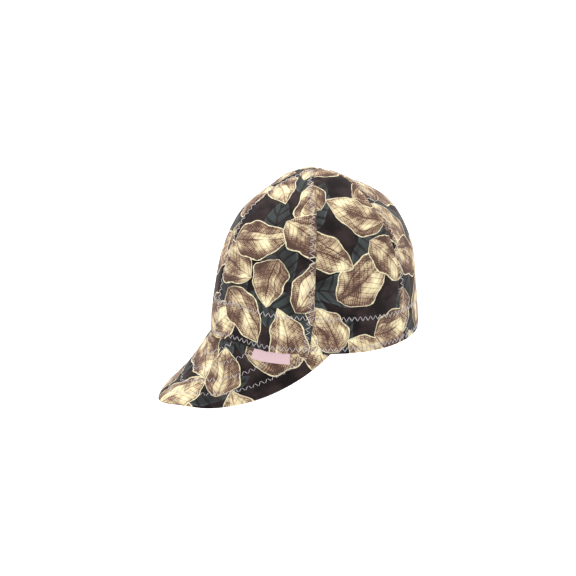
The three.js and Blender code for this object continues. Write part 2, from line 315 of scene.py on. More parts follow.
def cloth_wall(name, outer, inner, pattern, finish):
    """A closed wall between two grids of points whose border points are the same."""
    rows, columns = outer.shape[:2]
    points = np.concatenate([outer.reshape(-1, 3), inner.reshape(-1, 3)])
    index = np.arange(rows * columns).reshape(rows, columns)
    corners = [index[:-1, :-1], index[:-1, 1:], index[1:, 1:], index[1:, :-1]]
    face = np.stack(corners, axis=-1).reshape(-1, 4)
    faces = np.concatenate([face, face[:, ::-1] + rows * columns])
    flat = pattern.reshape(-1, 2)[faces % (rows * columns)]

    keys = np.round(points / WELD).astype(np.int64)
    kept, first, welded = np.unique(keys, axis=0, return_index=True, return_inverse=True)
    corner_points = welded.ravel()[faces]
    is_new = corner_points != np.roll(corner_points, -1, axis=1)
    whole = is_new.sum(axis=1) >= 3
    polygons = [line[new].tolist() for line, new in zip(corner_points[whole], is_new[whole])]

    mesh = bpy.data.meshes.new(name)
    mesh.from_pydata(points[first].tolist(), [], polygons)
    mesh.uv_layers.new(name="pattern").data.foreach_set("uv", flat[whole][is_new[whole]].ravel())
    reverse = mesh.attributes.new("reverse_side", "FLOAT", "POINT")
    reverse.data.foreach_set("value", (first >= rows * columns).astype(float))
    turn_outwards(mesh)
    return add_piece(name, mesh, finish)


def turn_outwards(mesh):
    """Turns every face of a closed mesh outwards and shades it smooth."""
    work = bmesh.new()
    work.from_mesh(mesh)
    bmesh.ops.recalc_face_normals(work, faces=work.faces)
    work.to_mesh(mesh)
    work.free()
    mesh.shade_smooth()


def add_piece(name, mesh, finish):
    """Puts a finished mesh into the scene with its material."""
    mesh.materials.clear()
    mesh.materials.append(finish)
    piece = bpy.data.objects.new(name, mesh)
    bpy.context.scene.collection.objects.link(piece)
    return piece


def triangles(piece):
    """How many triangles a piece's faces make."""
    return sum(len(polygon.vertices) - 2 for polygon in piece.data.polygons)


def arc_lengths(points, axis):
    """Lengths along the rows (axis 1) or columns (axis 0) of a grid of points."""
    steps = np.linalg.norm(np.diff(points, axis=axis), axis=-1)
    total = np.cumsum(steps, axis=axis)
    return np.insert(total, 0, 0, axis=axis)


def cell_area(points):
    """The area of a grid of points, and so of the flat cloth under it."""
    across = points[:-1, 1:] - points[:-1, :-1]
    up = points[1:, :-1] - points[:-1, :-1]
    return float(np.linalg.norm(np.cross(across, up), axis=-1).sum())


unit_square = np.array([[[0, 0, 0], [1, 0, 0]], [[0, 1, 0], [1, 1, 0]]])
print("a square of 1 m holds", cell_area(unit_square), "square metre of cloth")

# %% [markdown]
# ## Finishes as expressions
#
# A material's nodes could be dragged together by hand, but a print of a dozen leaves
# needs hundreds. Here a small class lets Python's own operators add Math nodes, so that
# a formula reads as one. Every other node comes from one method, add.

# %% A socket that can be used in formulas
class Value:
    """A number that a material works out over the surface."""

    def __init__(self, finish, socket):
        self.finish = finish
        self.socket = socket

    def maths(self, operation, *others):
        return self.finish.maths(operation, self, *others)

    def __add__(self, other):
        return self.maths("ADD", other)

    def __sub__(self, other):
        return self.maths("SUBTRACT", other)

    def __rsub__(self, other):
        return self.finish.maths("SUBTRACT", other, self)

    def __mul__(self, other):
        return self.maths("MULTIPLY", other)

    def __truediv__(self, other):
        return self.maths("DIVIDE", other)

    def __gt__(self, other):
        return self.maths("GREATER_THAN", other)

    def __lt__(self, other):
        return self.maths("LESS_THAN", other)

    def __abs__(self):
        return self.maths("ABSOLUTE")

    __radd__ = __add__
    __rmul__ = __mul__


# %% A material that is built from formulas
NODE_ACROSS = 180
NODE_DOWN = 260
NODES_IN_ROW = 24
# The scale of each kind of unevenness, and how fine it gets
NOISES = {
    "blot": {"Scale": 0.055, "Detail": 1.5},
    "streak": {"Scale": 1.0, "Detail": 2.0},
    "fleck": {"Scale": 0.42, "Detail": 2.0},
    "ragged rim": {"Scale": 0.3, "Detail": 2.0},
    "worn ground": {"Scale": 0.05, "Detail": 4.0},
    "ghost patch": {"Scale": 0.03, "Detail": 2.0},
    "wobble": {"Scale": 0.06, "Detail": 3.0},
    "yarn": {"Scale": 0.9, "Detail": 3.0},
    "print slub": {"Scale": 1.3, "Detail": 2.0},
    "worn band": {"Scale": 0.12, "Detail": 4.0},
    "band slub": {"Scale": 1.1, "Detail": 2.0},
    "tape cloud": {"Scale": 0.25, "Detail": 3.0},
    "twist": {"Scale": 900.0, "Detail": 1.0},
}


class Finish:
    """A material whose nodes are added by formulas."""

    def __init__(self, name):
        self.material = bpy.data.materials.new(name)
        self.material.use_nodes = True
        self.tree = self.material.node_tree
        self.tree.nodes.clear()
        self.count = 0

    def add(self, kind, settings=None, sockets=None, output=0):
        """Adds one node: its type, its settings, and the values or links of its sockets."""
        node = self.tree.nodes.new("ShaderNode" + kind)
        row, column = divmod(self.count, NODES_IN_ROW)
        node.location = (NODE_ACROSS * column, -NODE_DOWN * row)
        self.count += 1
        for name, value in (settings or {}).items():
            if name == "stops":
                self.set_stops(node.color_ramp, value)
            else:
                setattr(node, name, value)
        for name, value in (sockets or {}).items():
            self.feed(self.find(node.inputs, name), value)
        return None if output is None else Value(self, self.find(node.outputs, output))

    def find(self, sockets, name):
        if isinstance(name, int):
            return sockets[name]
        return next(s for s in sockets if name in (s.identifier, s.name) and s.enabled)

    def feed(self, socket, value):
        if isinstance(value, Value):
            self.tree.links.new(value.socket, socket)
        else:
            socket.default_value = value

    def set_stops(self, ramp, stops):
        while len(ramp.elements) < len(stops):
            ramp.elements.new(0.5)
        for element, (position, color) in zip(ramp.elements, stops):
            element.position = position
            element.color = color

    def maths(self, operation, *terms):
        return self.add("Math", {"operation": operation}, dict(enumerate(terms)))

    def vector(self, operation, *terms):
        return self.add("VectorMath", {"operation": operation}, dict(enumerate(terms)))

    def flat_place(self):
        """The place on the flat cloth, in millimetres."""
        place = self.vector("SCALE", self.add("UVMap", {"uv_map": "pattern"}))
        place.socket.node.inputs["Scale"].default_value = 1 / MM
        return place

    def noise(self, place, kind, output=0):
        """Soft unevenness, about 0 to 1, of a kind that the table of noises lists."""
        return self.add("TexNoise", None, {"Vector": place, **NOISES[kind]}, output)

    def lines(self, run, low, high):
        """1 on a thin line in the middle of each whole step of a run, and 0 beside it."""
        return 1 - self.smooth(abs(run.maths("FRACT") - 0.5), low, high)

    def smooth(self, value, low, high):
        """0 below low and 1 above high, with a soft step between."""
        settings = {"interpolation_type": "SMOOTHSTEP"}
        places = {"Value": value, "From Min": low, "From Max": high}
        return self.add("MapRange", settings, places)

    def mix(self, factor, first, second, kind="RGBA"):
        ends = {"RGBA": "Color", "VECTOR": "Vector"}[kind]
        places = {"Factor_Float": factor, "A_" + ends: first, "B_" + ends: second}
        return self.add("Mix", {"data_type": kind}, places, "Result_" + ends)

    def parts(self, value):
        """The three numbers of a vector."""
        first = self.add("SeparateXYZ", None, {0: value})
        node = first.socket.node
        return [Value(self, node.outputs[i]) for i in range(3)]

    def close(self, sockets):
        """Ends the material in a surface shader with these sockets."""
        surface = self.add("BsdfPrincipled", None, sockets)
        self.add("OutputMaterial", None, {"Surface": surface}, None)
        return self.material


print("kinds of unevenness:", ", ".join(NOISES))

# %% [markdown]
# ## The print
#
# The cotton is printed with curled leaves in cream, tan and brown on a near-black
# ground, with large dark leaves ghosted behind them. A print repeats: the same tile is
# laid again and again over the cloth. So the repeat is charted in two short tables,
# and the material finds, for each point of the flat cloth, which leaf it lies on, how
# far along that leaf, and how far from its midrib. The leaf is then shaded once from
# those three numbers.

# %% Chart the print's repeat, in millimetres on the flat cloth
REPEAT_ACROSS = 150
REPEAT_UP = 130

LEAVES = [
    {"across": 17, "up": 18, "turn": 38, "length": 66, "width": 38, "tone": 0.15, "lean": 0.12},
    {"across": 47, "up": 33, "turn": -47, "length": 56, "width": 34, "tone": 0.80, "lean": -0.10},
    {"across": 92, "up": 16, "turn": 104, "length": 60, "width": 35, "tone": 0.45, "lean": 0.16},
    {"across": 131, "up": 44, "turn": -22, "length": 58, "width": 36, "tone": 0.60, "lean": -0.14},
    {"across": 110, "up": 66, "turn": 64, "length": 56, "width": 34, "tone": 0.25, "lean": 0.08},
    {"across": 68, "up": 66, "turn": -98, "length": 44, "width": 32, "tone": 0.95, "lean": 0.14},
    {"across": 22, "up": 78, "turn": 152, "length": 62, "width": 37, "tone": 0.35, "lean": -0.12},
    {"across": 52, "up": 100, "turn": 12, "length": 58, "width": 34, "tone": 0.70, "lean": 0.10},
    {"across": 98, "up": 110, "turn": -34, "length": 56, "width": 36, "tone": 0.05, "lean": -0.16},
    {"across": 131, "up": 106, "turn": 118, "length": 46, "width": 31, "tone": 0.90, "lean": 0.12},
]
GHOST_LEAVES = [
    {"across": 30, "up": 50, "turn": 70, "length": 84, "width": 34, "lean": 0.2},
    {"across": 84, "up": 40, "turn": -25, "length": 78, "width": 32, "lean": -0.2},
    {"across": 128, "up": 84, "turn": 40, "length": 80, "width": 30, "lean": 0.2},
    {"across": 68, "up": 104, "turn": 108, "length": 82, "width": 34, "lean": -0.2},
    {"across": 4, "up": 12, "turn": 14, "length": 72, "width": 28, "lean": 0.2},
    {"across": 112, "up": 128, "turn": -62, "length": 70, "width": 28, "lean": 0.2},
]
LEAF_FILL = 0.66
leaf_cover = sum(LEAF_FILL * leaf["length"] * leaf["width"] for leaf in LEAVES)
repeat_area = REPEAT_ACROSS * REPEAT_UP
print("leaves cover about", round(100 * leaf_cover / repeat_area), "% of the repeat")


# %% The print's colours
def srgb(red, green, blue):
    """A colour as a picture shows it, turned into the light that Blender works with."""
    parts = [value / 255 for value in (red, green, blue)]
    linear = [v / 12.92 if v <= 0.04045 else ((v + 0.055) / 1.055) ** 2.4 for v in parts]
    return (*linear, 1)


GROUND = srgb(19, 15, 15)
GROUND_WORN = srgb(49, 39, 39)
GHOST = srgb(58, 64, 64)
GHOST_VEIN = srgb(84, 90, 94)
CREAM = srgb(238, 228, 190)
STRAW = srgb(218, 204, 164)
TAN = srgb(186, 168, 135)
BROWN = srgb(140, 112, 94)
DARK_BROWN = srgb(80, 60, 51)
PALE_RIM = srgb(232, 222, 184)
FADED = srgb(142, 136, 130)
BAND_BLACK = srgb(40, 36, 40)
BAND_WORN = srgb(52, 48, 52)
THREAD_LILAC = srgb(226, 220, 222)
THREAD_SHADE = srgb(176, 169, 172)
SHEEN_ROSE = srgb(240, 216, 214)
TAG_PINK = srgb(204, 177, 181)
TAG_RIB = srgb(196, 163, 169)
FLOOR_WHITE = srgb(250, 250, 250)
print("cream in linear light:", [round(value, 3) for value in CREAM[:3]])


# %% Where a leaf lies, and how wide it is
LEAF_TAPER = 0.3
LEAF_BLUNTNESS = 0.5
LEAF_WAVE = 0.07
LEAF_WAVE_RATE = 8.5
LEAST_TAPER = 0.1
LEAST_LEAF_WIDTH = 0.000001


def leaf_half_width(along, half_width):
    """Half of a leaf's width from its stalk, at -1, to its tip, at 1."""
    square = along * along
    blunt = (1 - square) * (1 + LEAF_BLUNTNESS * square)
    return blunt * (1 - LEAF_TAPER * along).maths("MAXIMUM", LEAST_TAPER) * half_width


def on_leaf(finish, place, leaf):
    """How far a point lies along a leaf, -1 to 1, and aside, in halves of its width."""
    half_repeat = (REPEAT_ACROSS / 2, REPEAT_UP / 2, 1)
    half_length = leaf["length"] / 2
    offset = finish.vector("SUBTRACT", place, (leaf["across"], leaf["up"], 0))
    low = [-value for value in half_repeat]
    near = finish.vector("WRAP", offset, half_repeat, low)
    chart = {
        "Vector": near,
        "Rotation": (0, 0, math.radians(leaf["turn"])),
        "Scale": (half_length, half_length, 1),
    }
    turned = finish.add("Mapping", {"vector_type": "TEXTURE"}, chart)
    along, aside = finish.parts(turned)[:2]
    leaning = aside - leaf["lean"] * along * along
    wave = 1 + LEAF_WAVE * (along * LEAF_WAVE_RATE + leaf["across"]).maths("SINE")
    width = leaf_half_width(along, leaf["width"] / leaf["length"]) * wave
    return along, leaning / width.maths("MAXIMUM", LEAST_LEAF_WIDTH)


# %% How a leaf is drawn
LEAF_HALF_LENGTH = 28
LEAF_HALF_WIDTH = 17
VEIN_PITCH = 5.2
HATCH_PITCH = 2.1
LINE_SLANT = 0.85
STREAKS_ALONG = 1.6
STREAKS_ACROSS = 8
CURL_ASIDE = 0.5
CURL_WAVE = 0.18
CURL_WAVE_RATE = 3.2
CURL_LINE_WIDTH = 0.035
RIM_RAGGEDNESS = 2.6
RIM_CUT = 0.35
CONTOUR_WIDTH = 0.6
# How dark each tone of a leaf is, from its lit parts to its shaded ones
LEAF_TONES = [(0.0, CREAM), (0.2, STRAW), (0.45, TAN), (0.72, BROWN), (1.0, DARK_BROWN)]
# How far each pattern is shifted by a leaf's tone, so that no two leaves are alike
TONE_SHIFTS = {"streak": 40, "curl": 6, "vein": 7}
# Where each soft step of the drawing starts and ends
STEPS = {
    "margin": {"low": 0.45, "high": 1.0},
    "curl": {"low": -0.02, "high": 0.03},
    "lit curl": {"low": 0.05, "high": 0.4},
    "vein": {"low": 0.03, "high": 0.1},
    "hatch": {"low": 0.06, "high": 0.3},
    "hatched shade": {"low": 0.2, "high": 0.6},
    "rib": {"low": 0.35, "high": 0.8},
    "line end": {"low": 1.4, "high": 2.2},
    "fleck": {"low": 0.58, "high": 0.66},
    "flecked blot": {"low": 0.42, "high": 0.55},
}
# How strongly each part changes a leaf's shade, where 0 is cream and 1 is dark brown
INK = {
    "base": 0.42,
    "blot": 2.2,
    "streak": 0.8,
    "stalk": 0.2,
    "margin": 0.3,
    "curl": 0.22,
    "lit curl": 0.2,
    "curl line": 0.4,
    "vein": 0.4,
    "hatch": 0.34,
    "fleck": 0.3,
}
print("a leaf is drawn with", len(STEPS), "steps and", len(INK), "inks")


# %% The leaves of the print
NO_LEAF = 9
CONTOUR_INK = 0.5
RIM_COVER = 0.9


def topmost_leaf(finish, place):
    """How far each point lies along and across the topmost leaf there, and its tone."""
    found = finish.add("CombineXYZ", None, {0: 0, 1: NO_LEAF, 2: 0})
    for leaf in LEAVES:
        along, across = on_leaf(finish, place, leaf)
        here = finish.add("CombineXYZ", None, {0: along, 1: across, 2: leaf["tone"]})
        found = finish.mix(abs(across) < 1, found, here, "VECTOR")
    return finish.parts(found)


def leaf_blots(finish, place, along, across, tone):
    """The soft shading of a leaf, and the large blots in it."""
    blot = finish.noise(place, "blot")
    streak_place = finish.add("CombineXYZ", None, {
        0: along * STREAKS_ALONG,
        1: across * STREAKS_ACROSS,
        2: tone * TONE_SHIFTS["streak"],
    })
    streak = finish.noise(streak_place, "streak")
    shade = (blot - 0.5) * INK["blot"] + (streak - 0.5) * INK["streak"]
    shade = shade - along * INK["stalk"] + INK["base"]
    return shade + finish.smooth(abs(across), **STEPS["margin"]) * INK["margin"], blot


def leaf_lines(finish, shade, along, from_rib, from_edge, tone):
    """How much the veins, the midrib and the hatching darken a leaf."""
    run = along * LEAF_HALF_LENGTH
    slant = from_rib * LINE_SLANT
    vein_run = (run - slant) / VEIN_PITCH + tone * TONE_SHIFTS["vein"]
    vein = finish.lines(vein_run, **STEPS["vein"])
    hatch = finish.lines((run + slant) / HATCH_PITCH, **STEPS["hatch"])
    rib = 1 - finish.smooth(from_rib, **STEPS["rib"])
    line = vein.maths("MAXIMUM", rib) * finish.smooth(from_edge, **STEPS["line end"])
    hatched = hatch * finish.smooth(shade, **STEPS["hatched shade"])
    return line * INK["vein"] + hatched * INK["hatch"]


def leaf_print(finish, place):
    """The topmost leaf at each point: its colour, and 1 where there is one."""
    along, across, tone = topmost_leaf(finish, place)
    width = leaf_half_width(along, LEAF_HALF_WIDTH)
    from_edge = (1 - abs(across)) * width
    from_rib = abs(across) * width
    shade, blot = leaf_blots(finish, place, along, across, tone)

    curl_turn = along * CURL_WAVE_RATE + tone * TONE_SHIFTS["curl"]
    curl_line = across - CURL_ASIDE - CURL_WAVE * curl_turn.maths("SINE")
    shade = shade + finish.smooth(curl_line, **STEPS["curl"]) * INK["curl"]
    shade = shade - finish.smooth(curl_line, **STEPS["lit curl"]) * INK["lit curl"]
    shade = shade + leaf_lines(finish, shade, along, from_rib, from_edge, tone)

    fleck = finish.smooth(finish.noise(place, "fleck"), **STEPS["fleck"])
    flecked = fleck * finish.smooth(blot, **STEPS["flecked blot"])
    shade = shade + flecked * INK["fleck"]
    shade = shade + (abs(curl_line) < CURL_LINE_WIDTH) * INK["curl line"]
    color = finish.add("ValToRGB", {"stops": LEAF_TONES}, {0: shade})

    rim_width = finish.noise(place, "ragged rim") * RIM_RAGGEDNESS - RIM_CUT
    contour = (from_edge > rim_width) * (from_edge < rim_width + CONTOUR_WIDTH)
    color = finish.mix(contour * CONTOUR_INK, color, DARK_BROWN)
    color = finish.mix((from_edge < rim_width) * RIM_COVER, color, PALE_RIM)
    return color, abs(across) < 1


# %% The ground with its ghosted leaves
GHOST_VEIN_PITCH = 9
GHOST_VEIN_SLANT = 9
GHOST_VEIN_DEPTH = 0.7
GHOST_RIB_DEPTH = 0.8
GHOST_EDGE_INK = 0.5
FAINTEST_GHOST = 0.25
GHOST_STEPS = {
    "vein": {"low": 0.12, "high": 0.18},
    "outline": {"low": 0.96, "high": 1.0},
    "rib": {"low": 0.06, "high": 0.1},
    "edge": {"low": 0.84, "high": 0.9},
    "worn ground": {"low": 0.4, "high": 0.66},
    "patch": {"low": 0.32, "high": 0.58},
}


def ghost_print(finish, place):
    """The near-black ground and the dark leaves behind the pale ones."""
    cover, edge = 0, 0
    for leaf in GHOST_LEAVES:
        along, across = on_leaf(finish, place, leaf)
        side = abs(across)
        run = along * leaf["length"] / 2 - side * GHOST_VEIN_SLANT
        vein = finish.lines(run / GHOST_VEIN_PITCH, **GHOST_STEPS["vein"])
        shape = 1 - finish.smooth(side, **GHOST_STEPS["outline"])
        rib = 1 - finish.smooth(side, **GHOST_STEPS["rib"])
        drawn = shape * (1 - GHOST_VEIN_DEPTH * vein) * (1 - GHOST_RIB_DEPTH * rib)
        cover = drawn.maths("MAXIMUM", cover)
        edge = (shape * finish.smooth(side, **GHOST_STEPS["edge"])).maths("MAXIMUM", edge)
    worn = finish.smooth(finish.noise(place, "worn ground"), **GHOST_STEPS["worn ground"])
    ground = finish.mix(worn, GROUND, GROUND_WORN)
    patch = finish.smooth(finish.noise(place, "ghost patch"), **GHOST_STEPS["patch"])
    strength = patch * (1 - FAINTEST_GHOST) + FAINTEST_GHOST
    ghost = finish.mix(edge * GHOST_EDGE_INK, GHOST, GHOST_VEIN)
    return finish.mix(cover * strength, ground, ghost)


# %% Weave and fading
WEAVE_PITCH = 0.55
WEAVE_HEIGHT = 0.06 * MM
YARN_SHARE = 0.5
SLUB_SHARE = 1.4
WOBBLE = 5
REVERSE_FADE = 0.5
SLUB_SHADE = 0.22
LEAST_SHADE = 0.05


def ribs(run, pitch):
    """Even ribs along a run, -1 to 1, so many millimetres apart."""
    return (run * (2 * math.pi / pitch)).maths("SINE")


def woven_bump(finish, place, strength):
    """The normal of a plain weave on the flat pattern."""
    across, up = finish.parts(place)[:2]
    yarns = ribs(across, WEAVE_PITCH) * ribs(up, WEAVE_PITCH)
    weave = yarns * YARN_SHARE + finish.noise(place, "yarn") * SLUB_SHARE
    sockets = {"Strength": strength, "Distance": WEAVE_HEIGHT, "Height": weave}
    return finish.add("Bump", None, sockets)


def printed_cotton():
    """The printed cloth, faded on its reverse side."""
    finish = Finish("printed_cotton")
    place = finish.flat_place()
    wobble = finish.noise(place, "wobble", "Color")
    half = -WOBBLE / 2
    pushed = finish.vector("MULTIPLY_ADD", wobble, (WOBBLE, WOBBLE, 0), (half, half, 0))
    drawn_place = finish.vector("ADD", place, pushed)

    leaf_color, leaf_here = leaf_print(finish, drawn_place)
    color = finish.mix(leaf_here, ghost_print(finish, drawn_place), leaf_color)

    reverse = finish.add("Attribute", {"attribute_name": "reverse_side"}, None, "Fac")
    color = finish.mix(reverse * REVERSE_FADE, color, FADED)
    slub = finish.noise(place, "print slub")
    color = finish.mix((slub - 0.5) * SLUB_SHADE + LEAST_SHADE, color, GROUND)
    return finish.close({
        "Base Color": color,
        "Roughness": slub * 0.12 + 0.82,
        "Normal": woven_bump(finish, place, 0.6),
        "Specular IOR Level": 0.1,
        "Sheen Weight": 0.12,
        "Sheen Roughness": 0.5,
        "Sheen Tint": SHEEN_ROSE,
    })


PRINTED_COTTON = printed_cotton()
print("the print has", len(PRINTED_COTTON.node_tree.nodes), "nodes")

# %% [markdown]
# ## The crown's panels
#
# Sewn cloth isn't smooth beside a seam. Each seam's allowance is pressed to one side and
# sewn down, so it stands a little proud there, the stitches pull the cloth in, and the
# cloth puckers across them. These could be painted as bumps, but the outline and the
# light both show them, so they go into the mesh, as a relief on the crown's form.

# %% Soft relief of the cloth
SEAM_PUCKER = 0.34 * MM
HEM_PUCKER = 0.28 * MM
PUCKER_REACH = 7 * MM
ALLOWANCE_WIDTH = 6.6 * MM
ALLOWANCE_RISE = 0.4 * MM
SEAM_CREASE = 0.75 * MM
SEAM_ROW_ASIDE = 3.7 * MM
HEM_ROW_UP = 4.2 * MM
BAND_ROW_BELOW = 2 * MM
ROW_DIP = 0.32 * MM
SLACK = 0.75 * MM
SLACK_AT_HEM = 0.4
SLACK_EASE = 0.8
FADE_EASE = 1.3
WAVE_CROWDING = 0.7
# Slow waves of the whole crown: how often they turn round it and up it
SLACK_WAVES = [
    {"around": 3, "upward": 2.1, "phase": 0.4, "size": 1.0},
    {"around": 5, "upward": 3.4, "phase": 2.2, "size": 0.8},
    {"around": 8, "upward": 4.3, "phase": 4.1, "size": 0.6},
    {"around": 11, "upward": 5.7, "phase": 1.3, "size": 0.45},
]
# The lengths in millimetres of the waves that add up to the puckers along each line
SEAM_WAVES = (6.5, 9.3, 14.1)
HEM_WAVES = (8.1, 11.7, 17.9)
BAND_ROW_WAVES = (7.2, 12.9, 21.3)


def ripple(run, seed, wavelengths):
    """A gentle uneven wave along a seam, about -1 to 1."""
    phases = np.random.default_rng(seed).uniform(0, 2 * math.pi, len(wavelengths))
    waves = [np.sin(2 * math.pi * run / (w * MM) + p) for w, p in zip(wavelengths, phases)]
    return np.sum(waves, axis=0) / len(wavelengths) ** WAVE_CROWDING


def fade(distance, reach):
    """1 on a line, and less and less away from it."""
    return np.exp(-(distance / reach) ** FADE_EASE)


def dent(distance, width):
    """1 on a line, with a round bottom, and soon 0 on both sides."""
    return np.exp(-(distance / width) ** 2)


def step(value, low, high):
    """0 below low and 1 above high, with a soft step between."""
    t = np.clip((value - low) / (high - low), 0, 1)
    return t * t * (3 - 2 * t)


def slack(share, climb):
    """Slow unevenness of the whole crown, none at the top."""
    total = 0
    for wave in SLACK_WAVES:
        round_wave = np.sin(2 * math.pi * wave["around"] * share + wave["phase"])
        up_wave = np.sin(wave["upward"] * climb + wave["phase"])
        total = total + wave["size"] * round_wave * up_wave
    higher = SLACK_AT_HEM + (1 - SLACK_AT_HEM) * np.sin(climb)
    return SLACK * total * np.cos(climb) ** SLACK_EASE * higher


pucker = ripple(np.array([10 * MM]), 20, SEAM_WAVES)[0]
print("a pucker 10 mm along a seam:", round(float(pucker), 2))

# %% The grid of one panel
PANEL_RIM = PANEL_CLOTH / 2
SEAM_GAP = 0.06 * MM
EDGE_ZONE = 9 * MM
BAND_ZONE = 46 * MM
TOP_ZONE = 5 * MM
NARROWEST_FULL = 26 * MM
LEAST_WIDTH = 1e-6
RIM_ROOM = 1.4
MERIDIAN_POINTS = 400
HEM_POINTS = 60
FINE_ROWS = 1.0 * MM
COARSE_ROWS = 1.9 * MM
FINE_COLUMNS = 0.9 * MM
COARSE_COLUMNS = 1.8 * MM


def zoned_lines(length, fine_start, fine_end, fine, coarse):
    """Distances along a length, fine in a zone at each end and coarse between."""
    first = np.linspace(0, fine_start, max(int(round(fine_start / fine)), 1) + 1)
    last = length - np.linspace(fine_end, 0, max(int(round(fine_end / fine)), 1) + 1)
    count = max(int(round((length - fine_start - fine_end) / coarse)), 1)
    middle = np.linspace(fine_start, length - fine_end, count + 1)[1:-1]
    return np.concatenate([first, middle, last])


def with_rim(lines, radius, at_start=True, at_end=True):
    """The same lines with a few more inside the first and last, for a round rim."""
    steps = np.array(RIM_STEPS) * radius
    room = steps[-1] * RIM_ROOM
    inside = [value for value in lines if value > room or not at_start]
    inside = [value for value in inside if value < lines[-1] - room or not at_end]
    start = steps if at_start else []
    end = lines[-1] - steps[::-1] if at_end else []
    return np.concatenate([start, inside, end])


def panel_grid(start):
    """Shares and climbs of a panel's grid points."""
    middle_share = (start + 0.5) / SIX
    climbs = np.linspace(0, TOP, MERIDIAN_POINTS)
    meridian = crown_frame(middle_share, climbs)[0]
    lengths = arc_lengths(meridian, 0)
    rows = zoned_lines(lengths[-1], BAND_ZONE, TOP_ZONE, FINE_ROWS, COARSE_ROWS)
    rows = with_rim(rows, PANEL_RIM, at_end=False)
    row_climbs = np.interp(rows, lengths, climbs)

    hem_shares = np.linspace(start, start + 1, HEM_POINTS)[None] / SIX
    around = crown_frame(hem_shares, row_climbs[:, None])[0]
    widths = np.maximum(arc_lengths(around, 1)[:, -1], LEAST_WIDTH)
    hem_width = widths[0]
    columns = zoned_lines(hem_width, EDGE_ZONE, EDGE_ZONE, FINE_COLUMNS, COARSE_COLUMNS)
    columns = with_rim(columns, PANEL_RIM)
    full = np.maximum(widths, NARROWEST_FULL)[:, None]
    near_start = columns[None] / full
    near_end = 1 - (hem_width - columns[None]) / full
    zone = EDGE_ZONE / full
    part = (columns[None] - EDGE_ZONE) / (hem_width - 2 * EDGE_ZONE)
    between = zone + part * (1 - 2 * zone)
    places = np.where(columns > hem_width - EDGE_ZONE, near_end, between)
    places = np.where(columns < EDGE_ZONE, near_start, places)
    gap = SEAM_GAP / hem_width
    places = gap + places * (1 - 2 * gap)
    return (start + places) / SIX, np.repeat(row_climbs[:, None], len(columns), axis=1)


shares, climbs = panel_grid(0)
print("a panel has", shares.shape[0], "rows and", shares.shape[1], "columns")


# %% The relief of one panel
CREASE_WIDTH = 1.3 * MM
ALLOWANCE_START = (0.3 * MM, 1.6 * MM)
ALLOWANCE_END = (ALLOWANCE_WIDTH - 0.7 * MM, ALLOWANCE_WIDTH)
# The widths of a panel between which its allowances fade out
ALLOWANCE_FADE = (6 * MM, 20 * MM)
SEAM_ROW_WIDTH = 1.6 * MM
HEM_ROW_WIDTH = 1.8 * MM
BAND_ROW_WIDTH = 2.0 * MM
# Shares of the hem's dip and of its pucker
SEAM_ROW_DIP = 0.5
BAND_ROW_DIP = 1.1
BAND_ROW_PUCKER = 0.7
# The seed of each kind of pucker, so that every pucker always lies the same way
SEEDS = {"seam": 20, "hem": 7, "band row": 8, "quilt row": 40, "peak edge": 46, "band": 60}
STITCHED_SEAMS = {
    "panel_front_left": ("first", "last"),
    "panel_back_left": ("first", "last"),
    "panel_back_right": ("last",),
    "panel_front_right": ("first",),
}


def panel_relief(panel, shares, climbs, first, last, up):
    """How far the cloth of a panel stands out, and how much of that is allowance."""
    relief = slack(shares, climbs)
    allowance = np.zeros_like(relief)
    edges = {"first": (first, panel["start"]), "last": (last, panel["start"] + 1)}
    for side, (distance, seam) in edges.items():
        waves = ripple(up, SEEDS["seam"] + seam % SIX, SEAM_WAVES)
        relief += SEAM_PUCKER * waves * fade(distance, PUCKER_REACH)
        relief -= SEAM_CREASE * dent(distance, CREASE_WIDTH)
        if side in STITCHED_SEAMS.get(panel["name"], ()):
            flap = step(distance, *ALLOWANCE_START) * (1 - step(distance, *ALLOWANCE_END))
            allowance += ALLOWANCE_RISE * flap * step(first + last, *ALLOWANCE_FADE)
            beside = distance - SEAM_ROW_ASIDE
            relief -= SEAM_ROW_DIP * ROW_DIP * dent(beside, SEAM_ROW_WIDTH)
    run = shares * HEM_LENGTH
    above_row = up - up_to_band_row(shares)
    waves = ripple(run, SEEDS["hem"], HEM_WAVES)
    relief += HEM_PUCKER * waves * fade(up, PUCKER_REACH)
    waves = ripple(run, SEEDS["band row"], BAND_ROW_WAVES)
    relief += BAND_ROW_PUCKER * HEM_PUCKER * waves * fade(np.abs(above_row), PUCKER_REACH)
    relief -= ROW_DIP * dent(up - HEM_ROW_UP, HEM_ROW_WIDTH)
    relief -= BAND_ROW_DIP * ROW_DIP * dent(above_row, BAND_ROW_WIDTH)
    return relief, allowance


def up_to_hem_row(share):
    """How far above the hem, along the cloth, its own row is sewn."""
    return np.full_like(share, HEM_ROW_UP)


def up_to_band_row(share):
    """How far above the hem, along the cloth, the sweatband's upper row is sewn."""
    return band_height(share) - BAND_ROW_BELOW


print("the band's row is", round(float(up_to_band_row(0.0)) / MM, 1), "mm up at the brow")

# %% Sew the panels
ALLOWANCE_EASE = 1.5 * MM
# The grids of each panel and ply, which the rows of stitches follow
sewn = {}


